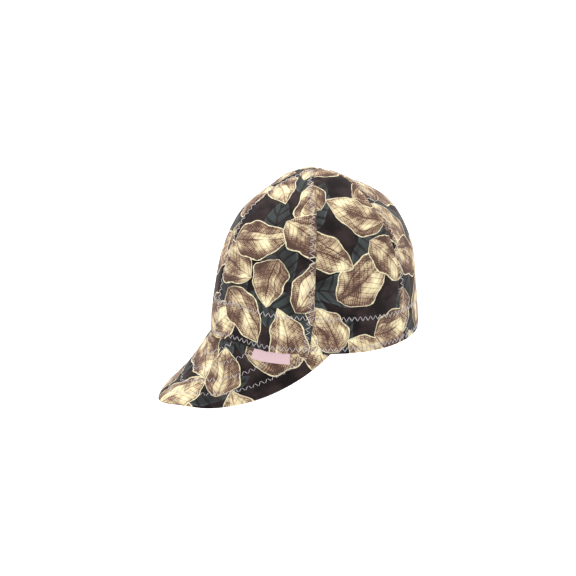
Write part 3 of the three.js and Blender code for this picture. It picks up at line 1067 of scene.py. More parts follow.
def sew_panel(panel):
    """One panel, with its flat size measured on its middle lines."""
    shares, climbs = panel_grid(panel["start"])
    base, out = crown_frame(shares, climbs)
    across = arc_lengths(base, 1)
    up = arc_lengths(base, 0)
    first = across
    last = across[:, -1:] - across
    relief, allowance = panel_relief(panel, shares, climbs, first, last, up)
    edge = np.minimum(np.minimum(first, last), up)
    allowance *= step(edge, 0, ALLOWANCE_EASE)
    sunk = rim_depth(edge, PANEL_RIM)
    outer = base + out * (relief + allowance - sunk)[..., None]
    inner = base + out * (relief - PANEL_CLOTH + sunk)[..., None]

    middle = across[:, -1:] / 2
    cut = np.array([panel["cut_across"], panel["cut_up"]]) * MM
    pattern = np.stack([across - middle, up], axis=-1) + cut
    piece = cloth_wall(panel["name"] + "_cloth", outer, inner, pattern, PRINTED_COTTON)
    sewn[panel["name"]] = {
        "outer": outer,
        "inner": inner,
        "first": first,
        "last": last,
        "up": up,
        "shares": shares,
    }
    area = cell_area(base)
    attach(piece, "root")
    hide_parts(panel["name"])
    print(piece.name, triangles(piece), "triangles,", round(area * 1e4), "square centimetres flat")
    return piece


panel_pieces = [sew_panel(panel) for panel in PANELS]

# %% [markdown]
# ## The peak
#
# The peak is soft: two plies of the same cotton, sewn together round the front edge,
# turned, and quilted with rows of zigzag that follow that edge. It rises inside the
# crown for a little way, where it is held between the panels and the sweatband. Its
# face is made of straight rules that start at the hem and run forward, so the cloth
# unrolls flat and the print isn't stretched.

# %% The peak's sizes, as in the model that carries it
PEAK_LENGTH = 78 * MM
PEAK_END = math.radians(69.8)
PEAK_SLOPE = math.radians(42)
PEAK_END_SLOPE = math.radians(76.5)
PEAK_EDGE_POWER = 2.15
PEAK_SPLAY = 0.08
PEAK_END_SPLAY = 0.12
PEAK_HOLLOW = 4 * MM
SMALL_SHARE = 0.0005
PEAK_END_SHARE = float(share_at(PEAK_END))


def peak_rules(share):
    """Where each rule of the peak starts, its heading from above, slope and length."""
    turn = turn_at(share)
    to_end = np.minimum(np.abs(turn) / PEAK_END, 1)
    hem, out = crown_frame(share, np.zeros_like(share))
    hem = hem - out * (PANEL_CLOTH + SEWN_GAP)
    run = unit(hem_outline(turn + SMALL_ANGLE) - hem_outline(turn - SMALL_ANGLE))
    outward = np.stack([run[..., 1], -run[..., 0]], axis=-1)
    splay = (PEAK_SPLAY + (PEAK_END_SPLAY - PEAK_SPLAY) * to_end ** 2)[..., None]
    heading = unit(np.array([0, -1]) * (1 - splay) + outward * splay)
    slope = PEAK_SLOPE + (PEAK_END_SLOPE - PEAK_SLOPE) * to_end ** 2
    length = PEAK_LENGTH * (1 - to_end ** PEAK_EDGE_POWER)
    return hem, heading, slope, length, to_end


def peak_face(share, along):
    """Points of the peak's upper face. Along runs from 0 at the hem to 1 at the edge."""
    share, along = np.broadcast_arrays(np.asarray(share, float), np.asarray(along, float))
    hem, heading, slope, length, to_end = peak_rules(share)
    hollow = PEAK_HOLLOW * np.sin(math.pi * along) * (1 - to_end ** 2)
    level = length * along * np.cos(slope) - hollow * np.sin(slope)
    fall = length * along * np.sin(slope) + hollow * np.cos(slope)
    flat = hem[..., :2] + heading * level[..., None]
    return np.concatenate([flat, (hem[..., 2] - SEWN_GAP - fall)[..., None]], axis=-1)


def peak_outward(share, along):
    """The direction straight out of the peak's upper face."""
    limit = PEAK_END_SHARE - 8 * SMALL_SHARE
    share, along = np.broadcast_arrays(np.clip(share, -limit, limit), np.asarray(along, float))
    nearer = peak_face(share, np.maximum(along - SMALL_ANGLE, 0))
    further = peak_face(share, np.minimum(along + SMALL_ANGLE, 1))
    sideways = peak_face(share + SMALL_SHARE, along) - peak_face(share - SMALL_SHARE, along)
    return unit(np.cross(further - nearer, sideways))


tip = peak_face(0.0, 1.0)
halfway_out = peak_outward(0.0, 0.5)
print("the peak's tip:", np.round(tip, 4), "outward halfway:", np.round(halfway_out, 2))

# %% The peak's grid and its flat pattern
PEAK_RIM = PEAK_CLOTH / 2
PLY_PITCH = PEAK_CLOTH + SEWN_GAP
PEAK_COLUMNS = 188
PEAK_ROWS = 76
SHORTEST_RULE = 4 * MM
WITHIN_RIM = 1.01 * PEAK_RIM
SMALLEST_SQUARE = 1e-18


def peak_grid():
    """Shares of the peak's columns and places along its rules, with fine rims."""
    width = 2 * PEAK_END_SHARE * HEM_LENGTH
    columns = with_rim(np.linspace(0, width, PEAK_COLUMNS), PEAK_RIM)
    shares = (columns / width * 2 - 1) * PEAK_END_SHARE
    rows = with_rim(np.linspace(0, PEAK_LENGTH, PEAK_ROWS), PEAK_RIM, at_start=False)
    length = peak_rules(shares)[3]
    from_edge = (PEAK_LENGTH - rows)[:, None]
    near_edge = 1 - from_edge / np.maximum(length, SHORTEST_RULE)
    along = np.where(from_edge <= WITHIN_RIM, near_edge, (rows / PEAK_LENGTH)[:, None])
    return shares, along, length


def peak_pattern(shares, along, length):
    """Unrolls the peak: its rules stay side by side, straight down the cloth."""
    hem, heading, slope = peak_rules(shares)[:3]
    rule = np.concatenate([heading * np.cos(slope)[:, None], -np.sin(slope)[:, None]], axis=1)
    moves = np.diff(hem, axis=0)
    middle_rule = unit(rule[1:] + rule[:-1])
    down = np.sum(moves * middle_rule, axis=1)
    across = np.sqrt(np.maximum(np.sum(moves ** 2, axis=1) - down ** 2, 0))
    run = np.concatenate([[0], np.cumsum(across)])
    fall = np.concatenate([[0], np.cumsum(down)])
    middle = len(shares) // 2
    run, fall = run - run[middle], fall - fall[middle]
    return np.stack([np.broadcast_to(run, along.shape), -fall - along * length], axis=-1)


def from_front(pattern):
    """How far each point of the flat pattern lies from the front edge, its last row."""
    start, move = pattern[-1, :-1], np.diff(pattern[-1], axis=0)
    reach = np.maximum(np.sum(move ** 2, axis=1), SMALLEST_SQUARE)
    away = pattern.reshape(-1, 1, 2) - start
    part = np.clip(np.sum(away * move, axis=2) / reach, 0, 1)
    distances = np.linalg.norm(away - part[..., None] * move, axis=2)
    return distances.min(axis=1).reshape(pattern.shape[:2])


shares, along, length = peak_grid()
pattern = peak_pattern(shares, along, length)
front = from_front(pattern)
flat_size = np.ptp(pattern.reshape(-1, 2), axis=0)
print("the peak has", along.shape[0], "rows and", along.shape[1], "columns")
print("flat peak:", np.round(flat_size, 4), "hem to front:", round(float(front.max()), 4))

# %% The peak's quilting
QUILT_ROWS = [13 * MM, 26.5 * MM, 41 * MM, 56 * MM]
QUILT_PINCH = 0.75 * MM
QUILT_PUFF = 0.35 * MM
QUILT_PUCKER = 0.34 * MM
EDGE_PINCH = 0.85 * MM
QUILT_WIDTH = 1.9 * MM
EDGE_WIDTH = 2.6 * MM
PUFF_WIDTH = 4 * MM
QUILT_REACH = 5 * MM
EDGE_REACH = 6 * MM
QUILT_WAVES = (7.3, 10.9, 16.3)
EDGE_WAVES = (8.3, 12.1, 19.7)
PEAK_WAVE = 0.7 * MM
WAVE_REACH = 30 * MM
# Waves along the front edge, and one that runs aslant from it to the hem
LONG_WAVES = [
    {"length": 61 * MM, "phase": 0.6, "size": 1},
    {"length": 34 * MM, "phase": 2.2, "size": 0.7},
]
CROSS_WAVE = {"length": 29 * MM, "slant": 40 * MM, "size": 0.35}


def quilting(front, run):
    """How far the stitches pull a ply inwards, less how far it puffs between them."""
    pinch = EDGE_PINCH * dent(front, EDGE_WIDTH)
    puckers = 0
    nearest = front
    for number, row in enumerate(QUILT_ROWS):
        away = np.abs(front - row)
        pinch = pinch + QUILT_PINCH * dent(away, QUILT_WIDTH)
        waves = ripple(run, SEEDS["quilt row"] + number, QUILT_WAVES)
        puckers = puckers + waves * fade(away, QUILT_REACH)
        nearest = np.minimum(nearest, away)
    waves = ripple(run, SEEDS["peak edge"], EDGE_WAVES)
    puckers = puckers + waves * fade(front, EDGE_REACH)
    puff = QUILT_PUFF * (1 - dent(nearest, PUFF_WIDTH))
    return pinch - puff - QUILT_PUCKER * puckers


def peak_bend(front, run):
    """Slow waves of both plies together, strongest at the front edge."""
    wave = 0
    for part in LONG_WAVES:
        turn = 2 * math.pi * run / part["length"] + part["phase"]
        wave = wave + part["size"] * np.sin(turn)
    cross_turn = 2 * math.pi * front / CROSS_WAVE["length"] + run / CROSS_WAVE["slant"]
    cross = CROSS_WAVE["size"] * np.sin(cross_turn)
    return PEAK_WAVE * (wave * fade(front, WAVE_REACH) + cross)


pull = quilting(np.array(QUILT_ROWS[0]), np.array(0.0))
print("pull at a row:", round(float(pull) / MM, 2), "mm")

# %% Sew the peak's plies
PEAK_CUTS = {"peak_upper": (97, 128), "peak_under": (20, 86)}
# The rows of a ply that rise inside the crown, as shares of its allowance
ALLOWANCE_SHARES = [1, 0.66, 0.33]
HEM_EASE = 9 * MM
CORNER = 1e-6
# How far the hidden side of a ply follows the pull of the stitches
HIDDEN_PULL = (-0.05 * MM, 0.12 * MM)


def ply_depths(ply, share_grid):
    """How deep the two sides of a ply lie under the peak's smooth face."""
    run = share_grid * HEM_LENGTH
    from_edge = (1 - along) * length
    from_side = (PEAK_END_SHARE - np.abs(share_grid)) * HEM_LENGTH
    hem_ease = step(along * length, 0, HEM_EASE)
    pull = quilting(front, run) * hem_ease
    bend = peak_bend(front, run) * hem_ease
    sunk = rim_depth(np.minimum(from_edge, from_side), PEAK_RIM)
    sunk = np.where(along * length + from_edge <= CORNER, PEAK_RIM, sunk)
    slight = np.clip(pull, *HIDDEN_PULL)
    if ply == 0:
        top, foot = pull, PEAK_CLOTH + slight
    else:
        top, foot = PLY_PITCH - slight, PLY_PITCH + PEAK_CLOTH - pull
    thin = (foot - top) / 2 * sunk / PEAK_RIM
    return top + thin - bend, foot - thin - bend


def sew_ply(node, ply):
    """One ply of the peak, with its allowance turned up inside the crown."""
    share_grid = np.broadcast_to(shares, along.shape)
    face = peak_face(share_grid, along)
    down = -peak_outward(share_grid, along)
    rising = np.broadcast_to(shares, (len(ALLOWANCE_SHARES), len(shares)))
    risen_part = np.array(ALLOWANCE_SHARES)[:, None]
    stand, stand_out = crown_frame(rising, risen_part * band_climb(rising) / BAND_ROWS)
    side_sunk = rim_depth((PEAK_END_SHARE - np.abs(rising)) * HEM_LENGTH, PEAK_RIM)
    side_sunk[0] = PEAK_RIM
    to_middle = -unit(hem_outline(turn_at(shares)))
    inward = np.concatenate([to_middle, np.zeros((len(shares), 1))], axis=1)

    sides = []
    for depth, sign in zip(ply_depths(ply, share_grid), (1, -1)):
        points = face + down * depth[..., None]
        scale = depth[0] / (1 + np.sum(inward * down[0], axis=1))
        points[0] = face[0] + (inward + down[0]) * scale[:, None]
        flat_depth = ply * PLY_PITCH + (0 if sign > 0 else PEAK_CLOTH) + sign * side_sunk
        upright = stand - stand_out * (PANEL_CLOTH + SEWN_GAP + flat_depth)[..., None]
        sides.append(np.concatenate([upright, points]))
    sewn[node] = {"top": sides[0], "foot": sides[1]}
    if ply == 1:
        sides.reverse()

    risen = np.broadcast_to(risen_part * BAND_BROW_HEIGHT / BAND_ROWS, rising.shape)
    stand_pattern = pattern[:1] + np.stack([np.zeros_like(rising), risen], axis=-1)
    whole = np.concatenate([stand_pattern, pattern]) + np.array(PEAK_CUTS[node]) * MM
    piece = cloth_wall(node + "_cloth", *sides, whole, PRINTED_COTTON)
    area = cell_area(sides[0])
    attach(piece, "root")
    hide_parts(node)
    print(piece.name, triangles(piece), "triangles,", round(area * 1e4), "square centimetres flat")
    return piece


peak_upper = sew_ply("peak_upper", 0)
peak_under = sew_ply("peak_under", 1)

# %% [markdown]
# ## The sweatband
#
# The band is one even strip all the way round, so it is made by a rule. Geometry Nodes
# lay a grid along a guide: at each station of the guide the strip rises by that
# station's own height, along the curve of the crown. Solidify then gives the strip its
# thickness and Bevel rounds its edges.

# %% A guide that Geometry Nodes can read
def add_guide(name, points, vectors, closed=False):
    """A line of points with named vectors on them, for Geometry Nodes to follow."""
    count = len(points)
    edges = [(i, i + 1) for i in range(count - 1)]
    if closed:
        edges.append((count - 1, 0))
    mesh = bpy.data.meshes.new(name)
    mesh.from_pydata(np.asarray(points).tolist(), edges, [])
    for label, values in vectors.items():
        layer = mesh.attributes.new(label, "FLOAT_VECTOR", "POINT")
        layer.data.foreach_set("vector", np.asarray(values, dtype=np.float32).ravel())
    guide = bpy.data.objects.new(name, mesh)
    bpy.context.scene.collection.objects.link(guide)
    return guide


def run_tree(guide, tree, inputs):
    """Runs a node tree on a guide and keeps the plain mesh that comes out."""
    modifier = guide.modifiers.new(tree.name, "NODES")
    modifier.node_group = tree
    for item in tree.interface.items_tree:
        if item.item_type == "SOCKET" and item.name in inputs:
            modifier[item.identifier] = inputs[item.name]
    return keep_result(guide)


def keep_result(piece):
    """Turns a piece with modifiers into a plain mesh."""
    bpy.context.view_layer.update()
    depsgraph = bpy.context.evaluated_depsgraph_get()
    mesh = bpy.data.meshes.new_from_object(piece.evaluated_get(depsgraph))
    mesh.name = piece.name
    piece.modifiers.clear()
    piece.data = mesh
    return piece


# %% A node tree as lines of code
class Tree:
    """A Geometry Nodes tree with named inputs."""

    def __init__(self, name, inputs):
        self.group = bpy.data.node_groups.new(name, "GeometryNodeTree")
        self.group.is_modifier = True
        face = self.group.interface
        face.new_socket("Geometry", in_out="INPUT", socket_type="NodeSocketGeometry")
        for label, (kind, default) in inputs.items():
            socket = face.new_socket(label, in_out="INPUT", socket_type="NodeSocket" + kind)
            if default is not None:
                socket.default_value = default
        face.new_socket("Geometry", in_out="OUTPUT", socket_type="NodeSocketGeometry")
        self.start = self.group.nodes.new("NodeGroupInput")
        self.end = self.group.nodes.new("NodeGroupOutput")

    def take(self, label):
        return self.start.outputs[label]

    def add(self, kind, settings=None, sockets=None, output=0):
        """Adds one node: its type, its settings, and the values or links of its sockets."""
        node = self.group.nodes.new(kind)
        for name, value in (settings or {}).items():
            setattr(node, name, value)
        for name, value in (sockets or {}).items():
            socket = node.inputs[name]
            if isinstance(value, bpy.types.NodeSocket):
                self.group.links.new(value, socket)
            else:
                socket.default_value = value
        return node.outputs[output]

    def maths(self, operation, *terms):
        return self.add("ShaderNodeMath", {"operation": operation}, dict(enumerate(terms)))

    def vector(self, operation, *terms):
        return self.add("ShaderNodeVectorMath", {"operation": operation}, dict(enumerate(terms)))

    def scaled(self, vector, scale):
        return self.add("ShaderNodeVectorMath", {"operation": "SCALE"}, {0: vector, "Scale": scale})

    def named(self, label, kind="FLOAT_VECTOR"):
        return self.add("GeometryNodeInputNamedAttribute", {"data_type": kind}, {"Name": label})

    def finish(self, geometry):
        """Gives the last geometry its material, and ends the tree with it."""
        sockets = {"Geometry": geometry, "Material": self.take("Material")}
        painted = self.add("GeometryNodeSetMaterial", None, sockets)
        plain = self.add("GeometryNodeRealizeInstances", None, {"Geometry": painted})
        self.group.links.new(plain, self.end.inputs[0])
        return self.group


print("guides and trees ready")

# %% The band's tree
def strip_tree():
    """Lays an upright strip along a closed guide, with its flat pattern."""
    tree = Tree("band_strip", {
        "Stations": ("Int", 10),
        "Rows": ("Int", 8),
        "Material": ("Material", None),
    })
    guide = tree.take("Geometry")
    rows = tree.take("Rows")
    columns = tree.maths("ADD", tree.take("Stations"), 1)
    grid = tree.add("GeometryNodeMeshGrid", None, {"Vertices X": columns, "Vertices Y": rows})
    index = tree.add("GeometryNodeInputIndex")
    station = tree.maths("FLOOR", tree.maths("DIVIDE", index, rows))
    row = tree.maths("SUBTRACT", index, tree.maths("MULTIPLY", station, rows))
    rise = tree.maths("DIVIDE", row, tree.maths("SUBTRACT", rows, 1))
    from_guide = tree.maths("MODULO", station, tree.take("Stations"))

    def sample(value):
        kind = {"data_type": "FLOAT_VECTOR"}
        sockets = {"Geometry": guide, "Value": value, "Index": from_guide}
        return tree.add("GeometryNodeSampleIndex", kind, sockets)

    foot = sample(tree.add("GeometryNodeInputPosition"))
    upward = sample(tree.named("rise"))
    bow = sample(tree.named("bow"))
    from_crest = tree.maths("SUBTRACT", 1, rise)
    swell = tree.maths("MULTIPLY", tree.maths("MULTIPLY", rise, 4), from_crest)
    place = tree.vector("ADD", foot, tree.scaled(upward, rise))
    place = tree.vector("ADD", place, tree.scaled(bow, swell))
    laid = tree.add("GeometryNodeSetPosition", None, {"Geometry": grid, "Position": place})
    around = tree.maths("MULTIPLY", station, HEM_LENGTH)
    across = tree.maths("DIVIDE", around, tree.take("Stations"))
    up = tree.maths("MULTIPLY", rise, BAND_BROW_HEIGHT)
    flat = tree.add("ShaderNodeCombineXYZ", None, {0: across, 1: up})
    store = {"data_type": "FLOAT2", "domain": "CORNER"}
    sockets = {"Geometry": laid, "Name": "pattern", "Value": flat}
    mapped = tree.add("GeometryNodeStoreNamedAttribute", store, sockets)
    sockets = {"Geometry": mapped, "Distance": SAME_POINT}
    return tree.finish(tree.add("GeometryNodeMergeByDistance", None, sockets))


STRIP_TREE = strip_tree()
print("band tree:", len(STRIP_TREE.nodes), "nodes")


# %% Plain cotton
SLUB_WEAR = 0.3
BAND_WEAR = {"low": 0.5, "high": 0.85}


def plain_cotton():
    """The sweatband's cloth, a little worn."""
    finish = Finish("plain_cotton")
    place = finish.flat_place()
    slub = finish.noise(place, "band slub")
    wear = finish.noise(place, "worn band") + slub * SLUB_WEAR
    return finish.close({
        "Base Color": finish.mix(finish.smooth(wear, **BAND_WEAR), BAND_BLACK, BAND_WORN),
        "Roughness": slub * 0.1 + 0.85,
        "Normal": woven_bump(finish, place, 0.7),
        "Specular IOR Level": 0.12,
    })


PLAIN_COTTON = plain_cotton()
print("plain cotton:", len(PLAIN_COTTON.node_tree.nodes), "nodes")


# %% Sew the sweatband
BAND_EASE_START = math.radians(6)
BAND_EASE_END = math.radians(26)
BAND_STATIONS = 360
BAND_GRID_ROWS = 15
BAND_RIM = 0.5 * MM
BAND_RIM_STEPS = 3
BAND_GAP = 0.3 * MM
BAND_WAVE = 0.25 * MM
BAND_WAVES = (15.0, 24.0, 41.0)
# Above this part of its height the band's waves get no smaller
HIGH_PART = 0.9


def band_depth(share):
    """How far the band's outer face lies under the crown's, past the peak's plies."""
    past_peak = np.abs(turn_at(share)) - PEAK_END
    ease = step(past_peak, BAND_EASE_START, BAND_EASE_END)
    return PANEL_CLOTH + SEWN_GAP + 2 * PLY_PITCH * (1 - ease)


def band_line(share, part, extra=0.0):
    """Points of the band's outer face at a part of its height, and their directions out."""
    points, out = crown_frame(share, band_climb(share) * part)
    waves = BAND_WAVE * ripple(share * HEM_LENGTH, SEEDS["band"], BAND_WAVES)
    waves = waves * math.sin(math.pi * min(part, HIGH_PART))
    return points - out * (band_depth(share) + extra + BAND_GAP + waves)[..., None], out


def sew_band():
    """The sweatband: a strip along the crown's inside, made thick and round-edged."""
    share = np.arange(BAND_STATIONS) / BAND_STATIONS - 0.5
    foot, middle, crest = [band_line(share, part)[0] for part in (0.0, 0.5, 1.0)]
    vectors = {"rise": crest - foot, "bow": middle - (foot + crest) / 2}
    guide = add_guide("sweatband_cloth", foot, vectors, closed=True)
    inputs = {"Stations": BAND_STATIONS, "Rows": BAND_GRID_ROWS, "Material": PLAIN_COTTON}
    band = run_tree(guide, STRIP_TREE, inputs)
    wall = band.modifiers.new("thickness", "SOLIDIFY")
    wall.thickness = BAND_CLOTH
    wall.offset = -1
    rim = band.modifiers.new("soft edges", "BEVEL")
    rim.width = BAND_RIM
    rim.segments = BAND_RIM_STEPS
    rim.limit_method = "ANGLE"
    keep_result(band)
    band.data.shade_smooth()
    around = np.linalg.norm(np.roll(foot, -1, axis=0) - foot, axis=1).sum()
    height = np.linalg.norm(crest - foot, axis=1).mean()
    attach(band, "root")
    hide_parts("sweatband")
    return band


sweatband = sew_band()

# %% [markdown]
# ## The tag
#
# The tag is a short piece of woven tape, folded double, with its cut ends in the seam
# between crown and peak. It could be a flat box, but the fold at its lower edge is
# round, and its corners lift a little. Its face is left blank.

# %% Tape for the tag
RIB_PITCH = 0.7
WARP_PITCH = 0.5
RIB_INK = 0.35
CLOUD_INK = 0.8
RIB_SHARE = 0.7
WARP_SHARE = 0.3
TAPE_HEIGHT = 0.08 * MM


def tag_tape():
    """Pale ribbed tape without any print."""
    finish = Finish("tag_tape")
    place = finish.flat_place()
    across, up = finish.parts(place)[:2]
    rib = ribs(up, RIB_PITCH) * 0.5 + 0.5
    warp = ribs(across, WARP_PITCH) * 0.5 + 0.5
    cloud = finish.noise(place, "tape cloud")
    color = finish.mix(rib * RIB_INK + (cloud - 0.5) * CLOUD_INK, TAG_PINK, TAG_RIB)
    weave = rib * RIB_SHARE + warp * WARP_SHARE
    sockets = {"Strength": 0.5, "Distance": TAPE_HEIGHT, "Height": weave}
    bump = finish.add("Bump", None, sockets)
    return finish.close({
        "Base Color": color,
        "Roughness": rib * 0.1 + 0.62,
        "Normal": bump,
        "Specular IOR Level": 0.25,
    })


TAG_TAPE = tag_tape()
print("tape:", len(TAG_TAPE.node_tree.nodes), "nodes")

# %% Fold and sew the tag
TAG_WIDTH = 34 * MM
TAG_DROP = 9.2 * MM
TAG_TUCK = -1.2 * MM
TAG_TURN = math.radians(41.4)
TAG_TILT = math.radians(5)
TAPE = 0.34 * MM
TAG_FOLD = 0.42 * MM
TAG_STAND = 0.55 * MM
TAG_BULGE = 0.5 * MM
TAG_SIDE_SINK = 0.35 * MM
TAG_COLUMNS = 34
DROP_POINTS = 16
FOLD_POINTS = 9


def tag_fold_line():
    """The tape's middle line from the seam down, round the fold and back: drop and lift."""
    down = np.linspace(TAG_TUCK, TAG_DROP - TAG_FOLD, DROP_POINTS)
    turn = np.linspace(0, math.pi, FOLD_POINTS)[1:-1]
    front = np.stack([down, np.full_like(down, TAG_FOLD)], axis=-1)
    fold_drop = TAG_DROP - TAG_FOLD + TAG_FOLD * np.sin(turn)
    fold = np.stack([fold_drop, TAG_FOLD * np.cos(turn)], axis=-1)
    back = np.stack([down[::-1], np.full_like(down, -TAG_FOLD)], axis=-1)
    return np.concatenate([front, fold, back])


def sew_tag():
    """The tag: tape that follows its fold line down from the seam and back."""
    middle = float(share_at(TAG_TURN))
    columns = with_rim(np.linspace(0, TAG_WIDTH, TAG_COLUMNS), TAPE / 2)
    share = middle + (columns / TAG_WIDTH - 0.5) * TAG_WIDTH / HEM_LENGTH
    outward = peak_outward(share, SMALL_SHARE)
    seam_run = unit(peak_face(share + SMALL_SHARE, 0.0) - peak_face(share, 0.0))
    downward = unit(np.cross(outward, seam_run))
    downward *= -np.sign(downward[:, 2:])
    seam = peak_face(share, 0.0)
    line = tag_fold_line()
    direction = np.gradient(line, axis=0)
    away = unit(np.stack([-direction[:, 1], direction[:, 0]], axis=-1))
    lengths = arc_lengths(line[:, None], 0)[:, 0]

    def face(depth):
        path = line[:, None] + away[:, None] * depth[..., None]
        drop, lift = path[..., 0], path[..., 1]
        bulge = TAG_BULGE * np.sin(math.pi * columns / TAG_WIDTH) - TAG_SIDE_SINK
        rise = SEWN_GAP + TAG_STAND + np.maximum(drop, 0) * math.tan(TAG_TILT)
        rise = rise + lift + bulge * np.clip(drop / TAG_DROP, 0, 1)
        return seam + downward * drop[..., None] + outward * rise[..., None]

    side = np.minimum(columns, columns[-1] - columns)
    ends = np.minimum(lengths, lengths[-1] - lengths)
    sunk = rim_depth(np.minimum(side[None], ends[:, None]), TAPE / 2)
    outer = face(TAPE / 2 - sunk)
    inner = face(-TAPE / 2 + sunk)
    pattern = np.stack(np.broadcast_arrays(columns[None], lengths[:, None]), axis=-1)
    tag = cloth_wall("side_tag_tape", outer, inner, pattern, TAG_TAPE)
    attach(tag, "root")
    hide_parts("side_tag")
    print(tag.name, triangles(tag), "triangles")
    return tag


side_tag = sew_tag()

# %% [markdown]
# ## The stitches
#
# Every row on this cap is the same zigzag in pale thread. Modelling thousands of
# stitches by hand is hopeless, and a painted line has no thickness. Geometry Nodes
# follow a guide line that runs along the cloth: they mark the needle holes, move every
# other one to each side, sink the thread in at the holes and lift it between them.

# %% The zigzag tree
STITCH_LENGTH = 5.2 * MM
QUILT_STITCH_LENGTH = 6.1 * MM
STITCH_WIDTH = 4.3 * MM
THREAD_RADIUS = 0.22 * MM
THREAD_LIFT = 0.42 * MM
THREAD_SINK = 0.02 * MM
THREAD_SIDES = 6


def zigzag_tree():
    """Follows a guide on the cloth with zigzag thread, in and out of its holes."""
    tree = Tree("zigzag", {
        "Stitch length": ("Float", STITCH_LENGTH),
        "Stitch width": ("Float", STITCH_WIDTH),
        "Thread radius": ("Float", THREAD_RADIUS),
        "Lift": ("Float", THREAD_LIFT),
        "Sink": ("Float", THREAD_SINK),
        "Material": ("Material", None),
    })
    line = tree.add("GeometryNodeMeshToCurve", None, {"Mesh": tree.take("Geometry")})
    spacing = tree.maths("DIVIDE", tree.take("Stitch length"), 2)
    sockets = {"Curve": line, "Length": spacing}
    even = tree.add("GeometryNodeResampleCurve", {"mode": "LENGTH"}, sockets)
    cloth_out = tree.named("cloth_out")
    along = tree.add("GeometryNodeInputTangent")
    sideways = tree.vector("NORMALIZE", tree.vector("CROSS_PRODUCT", along, cloth_out))
    number = tree.add("GeometryNodeSplineParameter", None, None, "Index")
    side = tree.maths("SUBTRACT", tree.maths("MODULO", number, 2), 0.5)
    shift = tree.scaled(sideways, tree.maths("MULTIPLY", side, tree.take("Stitch width")))
    zigzag = tree.add("GeometryNodeSetPosition", None, {"Geometry": even, "Offset": shift})
    parted = tree.add("GeometryNodeSubdivideCurve", None, {"Curve": zigzag, "Cuts": 2})
    number = tree.add("GeometryNodeSplineParameter", None, None, "Index")
    between = tree.maths("MINIMUM", tree.maths("MODULO", number, 3), 1)
    rise = tree.maths("ADD", tree.take("Lift"), tree.take("Sink"))
    height = tree.maths("SUBTRACT", tree.maths("MULTIPLY", between, rise), tree.take("Sink"))
    lifted = tree.scaled(tree.named("cloth_out"), height)
    thread = tree.add("GeometryNodeSetPosition", None, {"Geometry": parted, "Offset": lifted})
    sockets = {"Resolution": THREAD_SIDES, "Radius": tree.take("Thread radius")}
    ring = tree.add("GeometryNodeCurvePrimitiveCircle", None, sockets)
    sockets = {"Curve": thread, "Profile Curve": ring, "Fill Caps": True}
    tube = tree.add("GeometryNodeCurveToMesh", None, sockets)
    return tree.finish(tree.add("GeometryNodeSetShadeSmooth", None, {"Geometry": tube}))


ZIGZAG_TREE = zigzag_tree()
print("zigzag tree:", len(ZIGZAG_TREE.nodes), "nodes")


# %% Thread
# Where the twist's bump is low the thread takes its darker tone: painted shade in the hollows of
# the twist
TWIST = {"low": 0.35, "high": 0.7}
TWIST_HEIGHT = 0.05 * MM


def sewing_thread():
    """Pale thread with a slight twist, with painted shade in the twist's hollows."""
    finish = Finish("sewing_thread")
    twist = finish.noise(finish.add("TexCoord", None, None, "Object"), "twist")
    sockets = {"Strength": 0.5, "Distance": TWIST_HEIGHT, "Height": twist}
    bump = finish.add("Bump", None, sockets)
    return finish.close({
        "Base Color": finish.mix(finish.smooth(twist, **TWIST), THREAD_SHADE, THREAD_LILAC),
        "Roughness": twist * 0.2 + 0.5,
        "Normal": bump,
        "Specular IOR Level": 0.3,
    })


SEWING_THREAD = sewing_thread()
print("thread:", len(SEWING_THREAD.node_tree.nodes), "nodes")

# %% Lines across and along a sewn grid
def grid_normals(points, like):
    """Directions straight out of a grid of points, on the side that like points to."""
    normals = unit(np.cross(np.gradient(points, axis=1), np.gradient(points, axis=0)))
    sign = np.sign(np.sum(normals * like, axis=-1, keepdims=True))
    return normals * np.where(sign == 0, 1, sign)


def cut_rows(grid, normals, distances, wanted):
    """One point on each row of a grid, at the wanted distance along it."""
    points, directions = [], []
    for line, normal, distance in zip(grid, normals, distances):
        if distance[0] <= wanted <= distance[-1] or distance[-1] <= wanted <= distance[0]:
            order = np.argsort(distance)
            at = distance[order]
            points.append([np.interp(wanted, at, values) for values in line[order].T])
            directions.append([np.interp(wanted, at, values) for values in normal[order].T])
    return np.array(points), unit(np.array(directions))


def columns_first(grid, columns):
    """Some columns of a grid, each as a row."""
    return np.swapaxes(grid[:, columns], 0, 1)


def add_row(name, points, directions, stitch=STITCH_LENGTH):
    """Sews one row of zigzag along points on the cloth."""
    guide = add_guide(name, points, {"cloth_out": directions})
    row = run_tree(guide, ZIGZAG_TREE, {"Stitch length": stitch, "Material": SEWING_THREAD})
    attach(row, "root")
    print(row.name, triangles(row), "triangles")
    return row


print("a stitch is", round(STITCH_LENGTH / MM, 1), "mm long on the crown")

# %% Sew the rows of the crown
SEAM_ROW_START = 1.5 * MM
SEAM_ROW_LEAST_WIDTH = 9.5 * MM
INNER_COLUMNS = slice(4, -4)


def seam_row(panel, side, face):
    """The row beside one seam of a panel, up to where the panel gets too narrow."""
    grid = sewn[panel]
    wide = (grid["first"][:, -1] > SEAM_ROW_LEAST_WIDTH) & (grid["up"][:, 0] > SEAM_ROW_START)
    points = grid[face][wide]
    sign = 1 if face == "outer" else -1
    normals = grid_normals(points, sign * points)
    return cut_rows(points, normals, grid[side][wide], SEAM_ROW_ASIDE)


def ring_row(height_at, face):
    """A row right round the crown, at a height above the hem that varies with the share."""
    points, directions = [], []
    for panel in sorted(PANELS, key=lambda panel: panel["start"]):
        grid = sewn[panel["name"]]
        sign = 1 if face == "outer" else -1
        normals = grid_normals(grid[face], sign * grid[face])
        above = grid["up"] - height_at(grid["shares"])
        tables = [columns_first(table, INNER_COLUMNS) for table in (grid[face], normals, above)]
        line, out = cut_rows(*tables, 0.0)
        points.append(line)
        directions.append(out)
    return np.concatenate(points), np.concatenate(directions)


